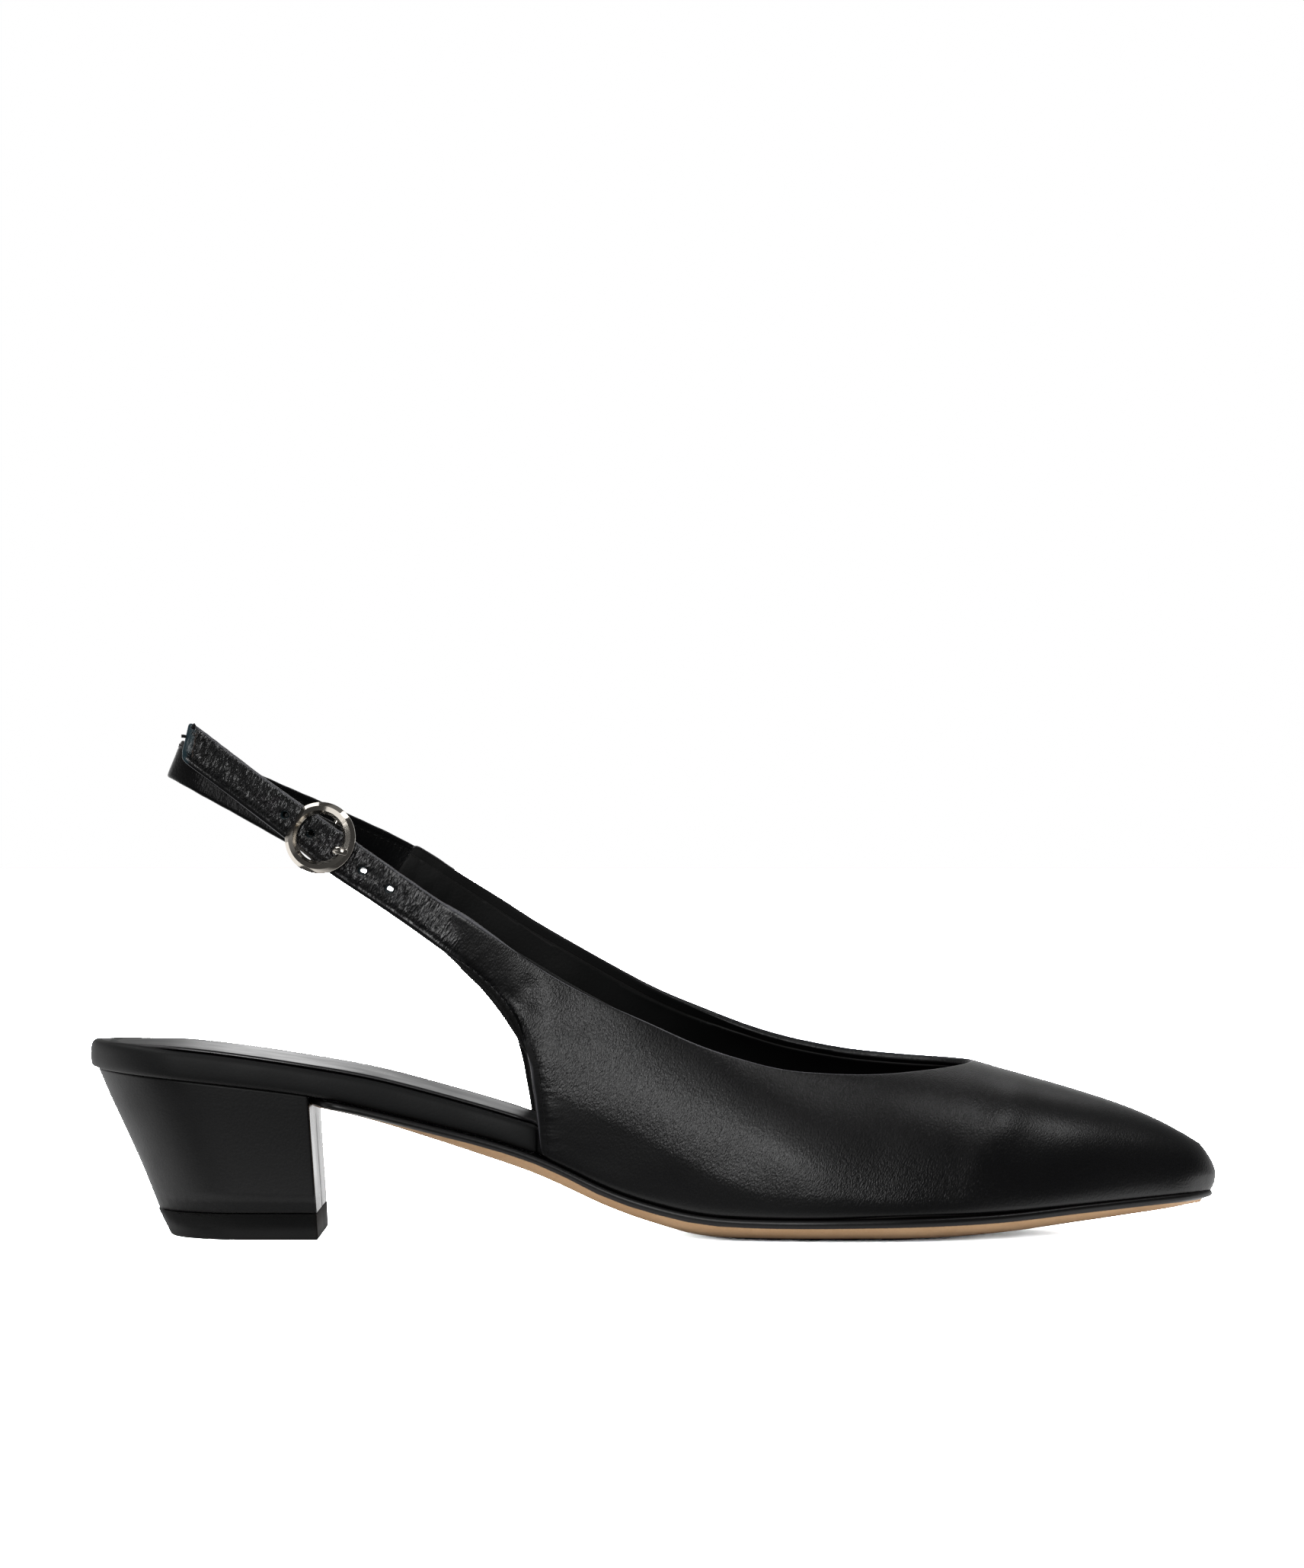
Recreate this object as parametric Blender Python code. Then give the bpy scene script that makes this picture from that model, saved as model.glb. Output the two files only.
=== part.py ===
"""Right-foot slingback pump: closed pointed toe, covered block heel, round buckle on the sling strap."""

import math
from collections import namedtuple

import bmesh
import bpy
from mathutils import Vector

# Sizes are in millimetres: +X to the toe, -Y the outer (lateral) side of the foot, +Z up from the floor.
MM = 0.001

# Driving sizes
HEEL_END = -130.0
TOE_END = 130.0
TOE_RADIUS = 8.0
HEEL_RADIUS = 25.0
GAP = 0.3
WALL = 1.8
THROAT = 74.5
NOSE_HEIGHT = 14.2
NOSE_RADIUS = 5.4
FEATHER_TIP = 129.0
SOLE_MARGIN = 0.8
SOLE_EDGE = 1.55
SOLE_BEVEL = 3.2
SOLE_ROUND = 11.0
BREAST = -77.6
SOCK_MARGIN = 2.2
SOCK_THICKNESS = 0.8
TOP_PIECE = 6.0
HEEL_STRAIGHT = 0.45
SLING_WIDTH = 9.2
SLING_THICKNESS = 1.4
SLING_LEAN = math.radians(22)
BUCKLE_LEAN = math.radians(31)
SLING_FRONT = -48.0
SLING_TURN = -103.0
SLING_REACH = 10.9
SLING_SLOPE = 0.545
BUCKLE_X = -75.7
BUCKLE_Z = 91.6
RING_RADIUS = 6.85
RING_FLAT = 5.6
BAR_RADIUS = 0.7
BAR_HALF = 6.5
BAR_DEPTH = 4.7
PRONG_RADIUS = 0.6
HOLE_FIRST = 4.25
HOLE_PITCH = 7.5
HOLE_RADIUS = 0.85
PRONG_HOLE_RADIUS = 1.15
SLOT_LENGTH = 8.0
SLOT_WIDTH = 2.2
SLOT_DEPTH = 7.4

# Mesh density
ROWS = 12
STRAP_ROW = 6
TOE_COLUMNS = 14
SIDE_COLUMNS = 22
STRAP_STEP = HOLE_PITCH / 3
PLATE_STATIONS = 44

# Half-widths of the feather line, where the upper meets the sole, before the ends are rounded
Outline = namedtuple("Outline", "x lateral medial")
OUTLINE = [
    Outline(-130, 25.0, 25.0),
    Outline(-100, 25.6, 25.4),
    Outline(-80, 26.2, 24.6),
    Outline(-60, 25.8, 21.8),
    Outline(-40, 25.4, 19.4),
    Outline(-20, 26.4, 19.2),
    Outline(0, 29.4, 23.0),
    Outline(20, 33.6, 30.6),
    Outline(40, 36.6, 36.2),
    Outline(54, 36.8, 37.4),
    Outline(70, 34.4, 36.0),
    Outline(86, 29.2, 31.6),
    Outline(100, 22.6, 25.4),
    Outline(112, 16.0, 18.4),
    Outline(122, 10.2, 11.8),
    Outline(130, 5.4, 6.4),
]

# Heights along the shoe: seat is the sole's upper face, bed the insole's, tread the sole's lowest face
Profile = namedtuple("Profile", "x seat bed bevel tread")
PROFILE = [
    Profile(-130, 38.5, 44.6, 0.3, 36.0),
    Profile(-109, 36.4, 43.2, 0.3, 34.0),
    Profile(-94, 34.8, 41.5, 0.3, 32.4),
    Profile(-78, 32.8, 39.1, 0.3, 30.2),
    Profile(-65, 30.0, 36.9, 0.6, 27.2),
    Profile(-50, 26.3, 33.1, 1.6, 22.6),
    Profile(-36, 22.7, 29.2, 2.6, 18.0),
    Profile(-25, 19.0, 25.6, 2.7, 14.1),
    Profile(-9, 11.4, 17.2, 2.4, 6.6),
    Profile(2, 8.1, 12.8, 2.2, 2.8),
    Profile(14, 5.9, 10.0, 2.2, 0.0),
    Profile(28, 5.5, 9.0, 2.2, 0.0),
    Profile(60, 5.9, 9.2, 2.3, 0.0),
    Profile(77, 6.5, 9.7, 2.0, 0.9),
    Profile(98, 8.2, 11.2, 1.7, 3.0),
    Profile(118, 9.6, 12.4, 1.2, 5.6),
    Profile(130, 10.3, 13.0, 0.4, 7.8),
]

# The last's sections: the ridge over the foot, how full a section is, how far its sides swell
Last = namedtuple("Last", "x ridge_y ridge_z fullness lateral_swell medial_swell")
LAST = [
    Last(-115, 0.0, 200.0, 3.0, 0.0, 0.0),
    Last(-60, 0.0, 135.0, 3.0, 0.0, 0.0),
    Last(-25, 1.2, 90.0, 3.0, 0.6, 2.4),
    Last(-10, 2.0, 76.5, 2.9, 1.0, 3.4),
    Last(8, 2.8, 61.3, 2.6, 1.2, 3.4),
    Last(25, 3.4, 50.3, 2.4, 1.2, 2.4),
    Last(40, 3.8, 45.8, 2.2, 1.2, 1.4),
    Last(56, 3.6, 43.4, 2.1, 1.0, 0.9),
    Last(74.5, 3.4, 40.2, 2.1, 0.8, 0.6),
    Last(85, 3.1, 37.1, 2.1, 0.6, 0.5),
    Last(96, 2.8, 34.0, 2.1, 0.5, 0.4),
    Last(106, 2.3, 31.0, 2.1, 0.3, 0.3),
    Last(114, 1.8, 28.0, 2.1, 0.2, 0.2),
    Last(121, 1.3, 24.4, 2.1, 0.0, 0.0),
    Last(127, 0.9, 20.1, 2.1, 0.0, 0.0),
    Last(130, 0.8, 17.5, 2.1, 0.0, 0.0),
]

# Half-widths of the straps from the shoe's long axis
STRAP_PLAN = [
    Outline(-112, 8.8, 5.0),
    Outline(-103, 10.4, 7.4),
    Outline(-92, 13.4, 11.0),
    Outline(-78, 17.2, 15.0),
    Outline(-68, 19.6, 17.6),
    Outline(-55, 22.2, 20.0),
    Outline(-40, 24.4, 20.6),
    Outline(-20, 26.4, 20.0),
]

# Edges of the upper in side view: the top line back from the throat, the rear edge up from the sole
Edge = namedtuple("Edge", "x z")
LATERAL_TOP = [
    Edge(74.5, 40.2),
    Edge(64, 38.8),
    Edge(48, 38.0),
    Edge(33, 38.9),
    Edge(17.5, 42.4),
    Edge(-1, 50.1),
    Edge(-17, 57.9),
    Edge(-33, 67.5),
    Edge(-49, 77.8),
    Edge(-68.3, 91.2),
    Edge(-88.6, 105.2),
    Edge(-106.5, 118.6),
]
MEDIAL_TOP = [
    Edge(74.5, 40.2),
    Edge(69, 40.6),
    Edge(62, 41.1),
    Edge(47.5, 42.3),
    Edge(33, 44.8),
    Edge(18.7, 49.3),
    Edge(4.3, 54.9),
    Edge(-10, 62.1),
    Edge(-24.5, 70.5),
    Edge(-39, 79.5),
    Edge(-55.5, 90.0),
]
LATERAL_FLANK = [
    Edge(-25.6, 19.3),
    Edge(-26.2, 29.5),
    Edge(-27.6, 39.7),
]
MEDIAL_FLANK = [
    Edge(-28.0, 20.3),
    Edge(-28.4, 27.4),
    Edge(-30.4, 39.0),
]
LATERAL_UNDER = [
    Edge(-27.6, 39.7),
    Edge(-31.4, 48.1),
    Edge(-37.5, 56.6),
    Edge(-44.5, 63.0),
    Edge(-55, 70.9),
    Edge(-72.4, 82.3),
    Edge(-90, 95.6),
    Edge(-108.7, 109.3),
]
MEDIAL_UNDER = [
    Edge(-30.4, 39.0),
    Edge(-33.0, 48.4),
    Edge(-36.8, 57.2),
    Edge(-41.8, 65.6),
    Edge(-48.5, 73.0),
    Edge(-60.5, 82.0),
]

# Middle line of the sling along the inner side, from the fold to its lap on the upper
SLING_FAR = [
    Edge(-112, 110.3),
    Edge(-92, 101.4),
    Edge(-72, 92.4),
    Edge(-58, 85.6),
    Edge(-46, 78.4),
]

Side = namedtuple("Side", "name sign top flank under join insole_step")
LATERAL = Side("lateral", -1, LATERAL_TOP, LATERAL_FLANK, LATERAL_UNDER, -8.0, -26.8)
MEDIAL = Side("medial", 1, MEDIAL_TOP, MEDIAL_FLANK, MEDIAL_UNDER, -10.0, -29.4)

# The heel from its foot to its seat: breast and back in side view, half-width in plan
Heel = namedtuple("Heel", "share breast back half")
HEEL = [
    Heel(0.0, -76.4, -114.0, 22.4),
    Heel(0.33, -77.0, -118.1, 22.7),
    Heel(0.66, -77.6, -122.9, 23.2),
    Heel(1.0, -78.2, -128.2, 24.0),
]
TOP_PIECE_LEVELS = [
    Heel(0.0, -76.3, -111.1, 21.8),
    Heel(0.06, -76.1, -111.4, 22.1),
    Heel(1.0, -76.4, -114.2, 22.4),
]

# The ring's section: distance out from its centre line, height over the strap
RING_SECTION = [
    (-1.2, 0.0),
    (1.2, 0.0),
    (1.35, 0.3),
    (1.35, 0.8),
    (0.6, 1.6),
    (-0.6, 1.6),
    (-1.35, 0.9),
    (-1.35, 0.3),
]

# The prong from the top of the bar through its hole and over the ring, in the buckle's own directions
Bend = namedtuple("Bend", "run across out")
PRONG = [
    Bend(1.2, 0.0, -3.1),
    Bend(2.8, -0.3, -3.1),
    Bend(3.7, -0.5, -2.95),
    Bend(4.15, -0.65, -2.4),
    Bend(4.25, -0.7, -1.6),
    Bend(4.25, -0.75, -0.6),
    Bend(4.3, -0.75, 0.7),
    Bend(4.5, -0.7, 2.1),
    Bend(5.1, -0.3, 2.95),
    Bend(6.2, 0.5, 3.25),
    Bend(7.4, 1.2, 3.15),
    Bend(8.1, 1.5, 2.8),
]


def smooth(keys, values, at):
    """Monotone cubic curve through the values, so that no row of a table is overshot."""
    if at <= keys[0]:
        return values[0]
    if at >= keys[-1]:
        return values[-1]
    steps = [b - a for a, b in zip(keys, keys[1:])]
    rises = [(b - a) / step for a, b, step in zip(values, values[1:], steps)]
    i = max(k for k in range(len(steps)) if keys[k] <= at)
    slopes = []
    for k in (i, i + 1):
        if k == 0 or k == len(rises):
            slopes.append(rises[min(k, len(rises) - 1)])
        elif rises[k - 1] * rises[k] <= 0:
            slopes.append(0.0)
        else:
            near = 2 * steps[k] + steps[k - 1]
            far = steps[k] + 2 * steps[k - 1]
            slopes.append((near + far) / (near / rises[k - 1] + far / rises[k]))
    t = (at - keys[i]) / steps[i]
    start = (1 + 2 * t) * (1 - t) ** 2 * values[i] + t * (1 - t) ** 2 * steps[i] * slopes[0]
    finish = t * t * (3 - 2 * t) * values[i + 1] + t * t * (t - 1) * steps[i] * slopes[1]
    return start + finish


def look_up(table, column, x):
    return smooth([row.x for row in table], [getattr(row, column) for row in table], x)


def along(edge, share):
    """Point of an edge at a share of its length."""
    lengths = [0.0]
    for a, b in zip(edge, edge[1:]):
        lengths.append(lengths[-1] + math.hypot(b.x - a.x, b.z - a.z))
    at = share * lengths[-1]
    return Edge(smooth(lengths, [p.x for p in edge], at), smooth(lengths, [p.z for p in edge], at))


def blend(a, b, share):
    return a + (b - a) * share


def ramp(x, start, finish):
    t = min(1.0, max(0.0, (x - start) / (finish - start)))
    return t * t * (3 - 2 * t)


def rounded(distance, radius):
    """Share of the full width left at a distance from a rounded end."""
    left = max(0.0, 1 - max(0.0, distance) / radius)
    return math.sqrt(1 - left * left)


def seat(x):
    return look_up(PROFILE, "seat", x)


def bed(x):
    return look_up(PROFILE, "bed", x)


def half_width(side, x, toe=FEATHER_TIP):
    ends = rounded(toe - x, TOE_RADIUS) * rounded(x - HEEL_END, HEEL_RADIUS)
    return look_up(OUTLINE, side.name, x) * ends


def wall_half(side, x, toe):
    """Half-width of the upper: the feather line along the vamp, the straps behind it."""
    on_strap = look_up(STRAP_PLAN, side.name, x)
    on_vamp = look_up(OUTLINE, side.name, x) * rounded(toe - x, TOE_RADIUS)
    return blend(on_strap, on_vamp, ramp(x, -36, -14))


def wall_point(side, x, t, toe=FEATHER_TIP):
    """Point of the upper's outer face: t runs from 0 at the sole to 1 on the ridge."""
    half = wall_half(side, x, toe)
    foot = seat(x) + GAP + 0.1
    ridge_y = look_up(LAST, "ridge_y", x)
    power = 2 / look_up(LAST, "fullness", x)
    angle = t * math.pi / 2
    inward = max(0.0, math.cos(angle)) ** power
    swell = look_up(LAST, side.name + "_swell", x) * math.sin(math.pi * t) * rounded(toe - x, TOE_RADIUS)
    y = ridge_y + side.sign * ((half - side.sign * ridge_y) * inward + swell)
    z = foot + (look_up(LAST, "ridge_z", x) - foot) * math.sin(angle) ** power
    return Vector((x, y, z))


def wall_share(x, z):
    """The t of wall_point that lies at height z."""
    foot = seat(x) + GAP + 0.1
    rise = (z - foot) / (look_up(LAST, "ridge_z", x) - foot)
    rise = min(1.0, max(0.0, rise))
    return math.asin(rise ** (look_up(LAST, "fullness", x) / 2)) * 2 / math.pi


def top_height(side, x):
    rows = sorted(side.top, key=lambda row: row.x)
    return look_up(rows, "z", x)


def nose(t):
    """How far forward the toe reaches at t: it overhangs the feather line and leans back above it."""
    foot = seat(FEATHER_TIP) + GAP + 0.1
    z = foot + (look_up(LAST, "ridge_z", 126.8) - foot) * math.sin(t * math.pi / 2) ** (2 / 2.1)
    return TOE_END - (z - NOSE_HEIGHT) ** 2 / (2 * NOSE_RADIUS)


def patch(front, back, bottom, top, columns, rows):
    """Grid of (x, t) between four edges, each a function of a share from 0 to 1."""
    grid = []
    for s in columns:
        column = []
        for v in rows:
            place = []
            for k in (0, 1):
                sides = blend(front(v)[k], back(v)[k], s)
                ends = blend(bottom(s)[k], top(s)[k], v)
                low = blend(front(0)[k], back(0)[k], s)
                high = blend(front(1)[k], back(1)[k], s)
                place.append(sides + ends - blend(low, high, v))
            column.append(place)
        grid.append(column)
    return grid


def toe_grid(side):
    grid = []
    for i in range(TOE_COLUMNS + 1):
        share = 1 - math.cos(i / TOE_COLUMNS * math.pi / 2)
        column = []
        for j in range(ROWS + 1):
            t = j / ROWS
            reach = nose(t)
            column.append(wall_point(side, blend(reach, THROAT, share), t, reach))
        grid.append(column)
    return grid


def side_grid(side):
    """The side from the throat back to its rear edge and up to where the strap leaves it."""
    corner = side.flank[0]
    leave = side.flank[-1]
    split = STRAP_ROW / ROWS
    leave_t = wall_share(leave.x, leave.z)
    join_t = wall_share(side.join, top_height(side, side.join))

    def back(v):
        if v <= split:
            edge = along(side.flank, v / split)
            return edge.x, wall_share(edge.x, edge.z) if v > 0 else 0.0
        share = (v - split) / (1 - split)
        return blend(leave.x, side.join, share), blend(leave_t, join_t, share)

    def top(s):
        x = blend(THROAT, side.join, s)
        return x, wall_share(x, top_height(side, x))

    columns = [(i / SIDE_COLUMNS) ** 1.3 for i in range(SIDE_COLUMNS + 1)]
    rows = [j / ROWS for j in range(ROWS + 1)]
    places = patch(
        lambda v: (THROAT, v),
        back,
        lambda s: (blend(THROAT, corner.x, s), 0.0),
        top,
        columns,
        rows,
    )
    return [[wall_point(side, x, t) for x, t in column] for column in places]


def strap_patch(side, columns):
    leave = side.flank[-1]
    leave_t = wall_share(leave.x, leave.z)
    join_t = wall_share(side.join, top_height(side, side.join))
    edge = [Edge(side.join, top_height(side, side.join))] + [p for p in side.top if p.x < side.join]
    low_end = side.under[-1]
    high_end = side.top[-1]
    low_t = wall_share(low_end.x, low_end.z)
    high_t = wall_share(high_end.x, high_end.z)

    def bottom(s):
        p = along(side.under, s)
        return p.x, wall_share(p.x, p.z)

    def top(s):
        p = along(edge, s)
        return p.x, wall_share(p.x, top_height(side, p.x))

    rows = [j / (ROWS - STRAP_ROW) for j in range(ROWS - STRAP_ROW + 1)]
    places = patch(
        lambda v: (blend(leave.x, side.join, v), blend(leave_t, join_t, v)),
        lambda v: (blend(low_end.x, high_end.x, v), blend(low_t, high_t, v)),
        bottom,
        top,
        columns,
        rows,
    )
    return [[wall_point(side, x, t) for x, t in column] for column in places]


def strap_columns():
    """Shares along the holed strap, every third at a hole, and the columns that hold the holes."""
    fine = [i / 400 for i in range(401)]
    middle = [column[3] for column in strap_patch(LATERAL, fine)]
    run = [0.0]
    for a, b in zip(middle, middle[1:]):
        run.append(run[-1] + (b - a).length)
    i = min(range(len(fine)), key=lambda k: abs(middle[k].x - BUCKLE_X))
    first = run[i] - HOLE_FIRST
    before = int(first / STRAP_STEP)
    after = int((run[-1] - first) / STRAP_STEP)
    lengths = [first + STRAP_STEP * k for k in range(-before, after + 1)]
    if lengths[0] > 0.6:
        lengths.insert(0, 0.0)
    lengths[0] = 0.0
    lengths[-1] = run[-1]
    shares = [smooth(run, fine, length) for length in lengths]
    start = min(range(len(lengths)), key=lambda k: abs(lengths[k] - first))
    holes = [start + 3 * k for k in (-2, -1, 0, 1, 2)]
    return shares, holes, start


def add_grid(bm, grid):
    verts = [[bm.verts.new(p * MM) for p in column] for column in grid]
    for here, there in zip(verts, verts[1:]):
        for j in range(len(here) - 1):
            bm.faces.new((here[j], there[j], there[j + 1], here[j + 1]))
    return verts


def add_object(name, bm, material):
    bmesh.ops.remove_doubles(bm, verts=bm.verts, dist=0.00001)
    bmesh.ops.recalc_face_normals(bm, faces=bm.faces)
    mesh = bpy.data.meshes.new(name)
    bm.to_mesh(mesh)
    bm.free()
    mesh.materials.append(material)
    piece = bpy.data.objects.new(name, mesh)
    bpy.context.collection.objects.link(piece)
    return piece


def make_material(name, colour, roughness, metallic=0.0):
    material = bpy.data.materials.new(name)
    material.use_nodes = True
    shader = material.node_tree.nodes["Principled BSDF"]
    shader.inputs["Base Color"].default_value = (*colour, 1.0)
    shader.inputs["Roughness"].default_value = roughness
    shader.inputs["Metallic"].default_value = metallic
    material.diffuse_color = (*colour, 1.0)
    return material


def make_upper(material):
    """One skin from toe to strap ends, open at the throat, the back and underneath, given its wall."""
    bm = bmesh.new()
    shares, holes, prong_column = strap_columns()
    even = [i / 14 for i in range(15)]
    strap = []
    for side, columns in ((LATERAL, shares), (MEDIAL, even)):
        add_grid(bm, toe_grid(side))
        add_grid(bm, side_grid(side))
        verts = add_grid(bm, strap_patch(side, columns))
        if side is LATERAL:
            strap = verts
    for column in holes:
        radius = PRONG_HOLE_RADIUS * MM if column == prong_column else HOLE_RADIUS * MM
        centre = strap[column][3].co.copy()
        bmesh.ops.bevel(
            bm,
            geom=[strap[column][3]],
            offset=radius,
            offset_type="OFFSET",
            affect="VERTICES",
            segments=2,
            profile=0.5,
            material=-1,
        )
        inside = [f for f in bm.faces if all((v.co - centre).length < 1.05 * radius for v in f.verts)]
        bmesh.ops.delete(bm, geom=inside, context="FACES")
        for vert in bm.verts:
            if (vert.co - centre).length < 1.05 * radius:
                vert.co = centre + (vert.co - centre).normalized() * radius
    piece = add_object("upper", bm, material)
    wall = piece.modifiers.new("wall", "SOLIDIFY")
    wall.thickness = WALL * MM
    wall.offset = -1.0
    wall.use_even_offset = False
    return piece


def plate_stations(front, back, round_front, round_back, count):
    """Stations along x, closer together toward a rounded end."""
    stations = []
    for i in range(count + 1):
        u = i / count
        if round_front and round_back:
            share = (1 - math.cos(math.pi * u)) / 2
        elif round_front:
            share = 1 - math.cos(math.pi * u / 2)
        else:
            share = math.sin(math.pi * u / 2)
        stations.append(blend(front, back, share))
    return stations


def outward(chain, other, sign, i):
    """Plan direction that points out of the outline at one place of a side's chain."""
    last = len(chain) - 1
    if i in (0, last) and chain[i] != other[i]:
        return Vector((0.0, sign))
    before = chain[i - 1] if i > 0 else other[1]
    after = chain[i + 1] if i < last else other[last - 1]
    run = (after - before).normalized()
    return Vector((run.y, -run.x)) * sign


def shifted(chains, inset):
    """Both sides of an outline moved inward by inset(side, x), less where the outline is narrow."""
    moved = []
    for side, chain, other in ((LATERAL, chains[0], chains[1]), (MEDIAL, chains[1], chains[0])):
        line = []
        for i, p in enumerate(chain):
            narrow = 0.5 * abs(p.y - other[i].y) / 2 + 2.4
            line.append(p - outward(chain, other, side.sign, i) * min(inset(side, p.x), narrow))
        moved.append(line)
    return moved


def outline_chains(stations):
    """The feather line's outer and inner sides at the stations, meeting at a rounded end."""
    lateral = [Vector((x, -half_width(LATERAL, x))) for x in stations]
    medial = [Vector((x, half_width(MEDIAL, x))) for x in stations]
    return [lateral, medial]


def add_plate(bm, levels):
    """Closed plate through levels of (outer chain, inner chain), each running from front to back."""
    made = []
    for lateral, medial in levels:
        row = [bm.verts.new(p * MM) for p in lateral]
        other = []
        for i, p in enumerate(medial):
            same = (p - lateral[i]).length < 1e-6
            other.append(row[i] if same else bm.verts.new(p * MM))
        made.append((row, other))
    for (low_l, low_m), (high_l, high_m) in zip(made, made[1:]):
        for low, high in ((low_l, high_l), (low_m, high_m)):
            for i in range(len(low) - 1):
                bm.faces.new((low[i], low[i + 1], high[i + 1], high[i]))
        for i in (0, -1):
            if low_l[i] is not low_m[i]:
                bm.faces.new((low_l[i], low_m[i], high_m[i], high_l[i]))
    for row, other in (made[0], made[-1]):
        for i in range(len(row) - 1):
            corners = []
            for vert in (row[i], row[i + 1], other[i + 1], other[i]):
                if vert not in corners:
                    corners.append(vert)
            bm.faces.new(corners)


def level(chains, inset, height):
    """One level of a plate: the outline moved inward by inset and lifted to height(x)."""
    lines = shifted(chains, lambda side, x: inset)
    return [[Vector((p.x, p.y, height(p.x))) for p in line] for line in lines]


def make_outsole(material):
    """Leather sole from toe to breast: upright edge, rounded underside, flat where the ball bears."""
    stations = plate_stations(FEATHER_TIP, BREAST, True, False, PLATE_STATIONS)
    chains = shifted(outline_chains(stations), lambda side, x: -SOLE_MARGIN)

    def edge_foot(x):
        return seat(x) - SOLE_EDGE

    def bevel_foot(x):
        return edge_foot(x) - look_up(PROFILE, "bevel", x)

    def tread(x):
        return min(look_up(PROFILE, "tread", x), bevel_foot(x) - 0.2)

    bm = bmesh.new()
    add_plate(bm, [
        level(chains, 0.5, seat),
        level(chains, 0.0, lambda x: seat(x) - 0.4),
        level(chains, 0.0, lambda x: edge_foot(x) + 0.3),
        level(chains, 0.3, edge_foot),
        level(chains, SOLE_BEVEL, bevel_foot),
        level(chains, SOLE_ROUND, tread),
    ])
    return add_object("outsole", bm, material)


def insole_chains(margin):
    """The insole stands at the feather line behind the upper and steps in to pass inside its wall."""
    stations = plate_stations(FEATHER_TIP, HEEL_END, True, True, PLATE_STATIONS)
    stations += [-26.8, -28.2, -29.6, -31.2, -32.6]
    stations.sort(reverse=True)

    def inset(side, x):
        return margin + (WALL + 0.5) * ramp(x, side.insole_step - 3.0, side.insole_step)

    return shifted(outline_chains(stations), inset)


def make_insole(material):
    chains = insole_chains(0.0)
    bm = bmesh.new()
    add_plate(bm, [
        level(chains, 0.8, lambda x: seat(x) + GAP),
        level(chains, 0.0, lambda x: seat(x) + GAP + 0.8),
        level(chains, 0.0, lambda x: bed(x) - 1.4),
        level(chains, 0.4, lambda x: bed(x) - 0.5),
        level(chains, 1.4, bed),
    ])
    return add_object("insole", bm, material)


def make_sock(material):
    chains = insole_chains(SOCK_MARGIN)
    bm = bmesh.new()
    add_plate(bm, [
        level(chains, 0.0, lambda x: bed(x) + GAP),
        level(chains, 0.0, lambda x: bed(x) + GAP + SOCK_THICKNESS * 0.6),
        level(chains, 0.4, lambda x: bed(x) + GAP + SOCK_THICKNESS),
    ])
    return add_object("sock_lining", bm, material)


def heel_level(row, height):
    """One level of the heel: straight sides from the breast, then a round back."""
    shares = [math.sin(math.pi / 2 * i / 14) for i in range(15)]
    lines = []
    for side in (LATERAL, MEDIAL):
        line = []
        for share in shares:
            x = blend(row.breast, row.back, share)
            turn = max(0.0, (share - HEEL_STRAIGHT) / (1 - HEEL_STRAIGHT))
            y = side.sign * row.half * math.sqrt(max(0.0, 1 - turn * turn))
            line.append(Vector((x, y, height(x))))
        lines.append(line)
    return lines


def make_heel(material):
    foot = TOP_PIECE + GAP
    keys = [row.share for row in HEEL]
    rows = []
    for i in range(7):
        share = i / 6
        breast = smooth(keys, [row.breast for row in HEEL], share)
        back = smooth(keys, [row.back for row in HEEL], share)
        half = smooth(keys, [row.half for row in HEEL], share)
        rows.append(Heel(share, breast, back, half))
    bm = bmesh.new()
    add_plate(bm, [
        heel_level(row, lambda x, share=row.share: blend(foot, seat(x) - GAP, share)) for row in rows
    ])
    return add_object("heel_block", bm, material)


def make_top_piece(material):
    bm = bmesh.new()
    add_plate(bm, [
        heel_level(row, lambda x, share=row.share: TOP_PIECE * share) for row in TOP_PIECE_LEVELS
    ])
    return add_object("heel_top_piece", bm, material)


def add_sweep(bm, path, section, ups):
    """Closed bar of the section along the path; section points are (sideways, along that place's up)."""
    rings = []
    for i, p in enumerate(path):
        run = (path[min(i + 1, len(path) - 1)] - path[max(i - 1, 0)]).normalized()
        across = run.cross(ups[i]).normalized()
        rise = across.cross(run).normalized()
        rings.append([bm.verts.new((p + across * u + rise * v) * MM) for u, v in section])
    count = len(section)
    for here, there in zip(rings, rings[1:]):
        for k in range(count):
            bm.faces.new((here[k], there[k], there[(k + 1) % count], here[(k + 1) % count]))
    bm.faces.new(rings[0])
    bm.faces.new(rings[-1])


def disc(radius, count=8):
    return [(radius * math.cos(2 * math.pi * k / count), radius * math.sin(2 * math.pi * k / count))
            for k in range(count)]


def band(width, thickness, chamfer):
    u = thickness / 2
    v = width / 2
    return [(u, -v + chamfer), (u, v - chamfer), (u - chamfer, v), (-u + chamfer, v),
            (-u, v - chamfer), (-u, -v + chamfer), (-u + chamfer, -v), (u - chamfer, -v)]


def strap_surface(side, x, z):
    return wall_point(side, x, wall_share(x, z))


def buckle_frame_axes():
    """Place of the buckle on the strap: origin, along the strap to the toe, across it and outward."""
    origin = strap_surface(LATERAL, BUCKLE_X, BUCKLE_Z)
    across = Vector((math.sin(BUCKLE_LEAN), 0.0, math.cos(BUCKLE_LEAN)))
    before = strap_surface(LATERAL, BUCKLE_X + 4, BUCKLE_Z - 2)
    behind = strap_surface(LATERAL, BUCKLE_X - 4, BUCKLE_Z + 2)
    out = (before - behind).cross(across).normalized()
    if out.y > 0:
        out = -out
    run = across.cross(out).normalized()
    if run.x < 0:
        run = -run
    return origin, run, across, out


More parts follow.
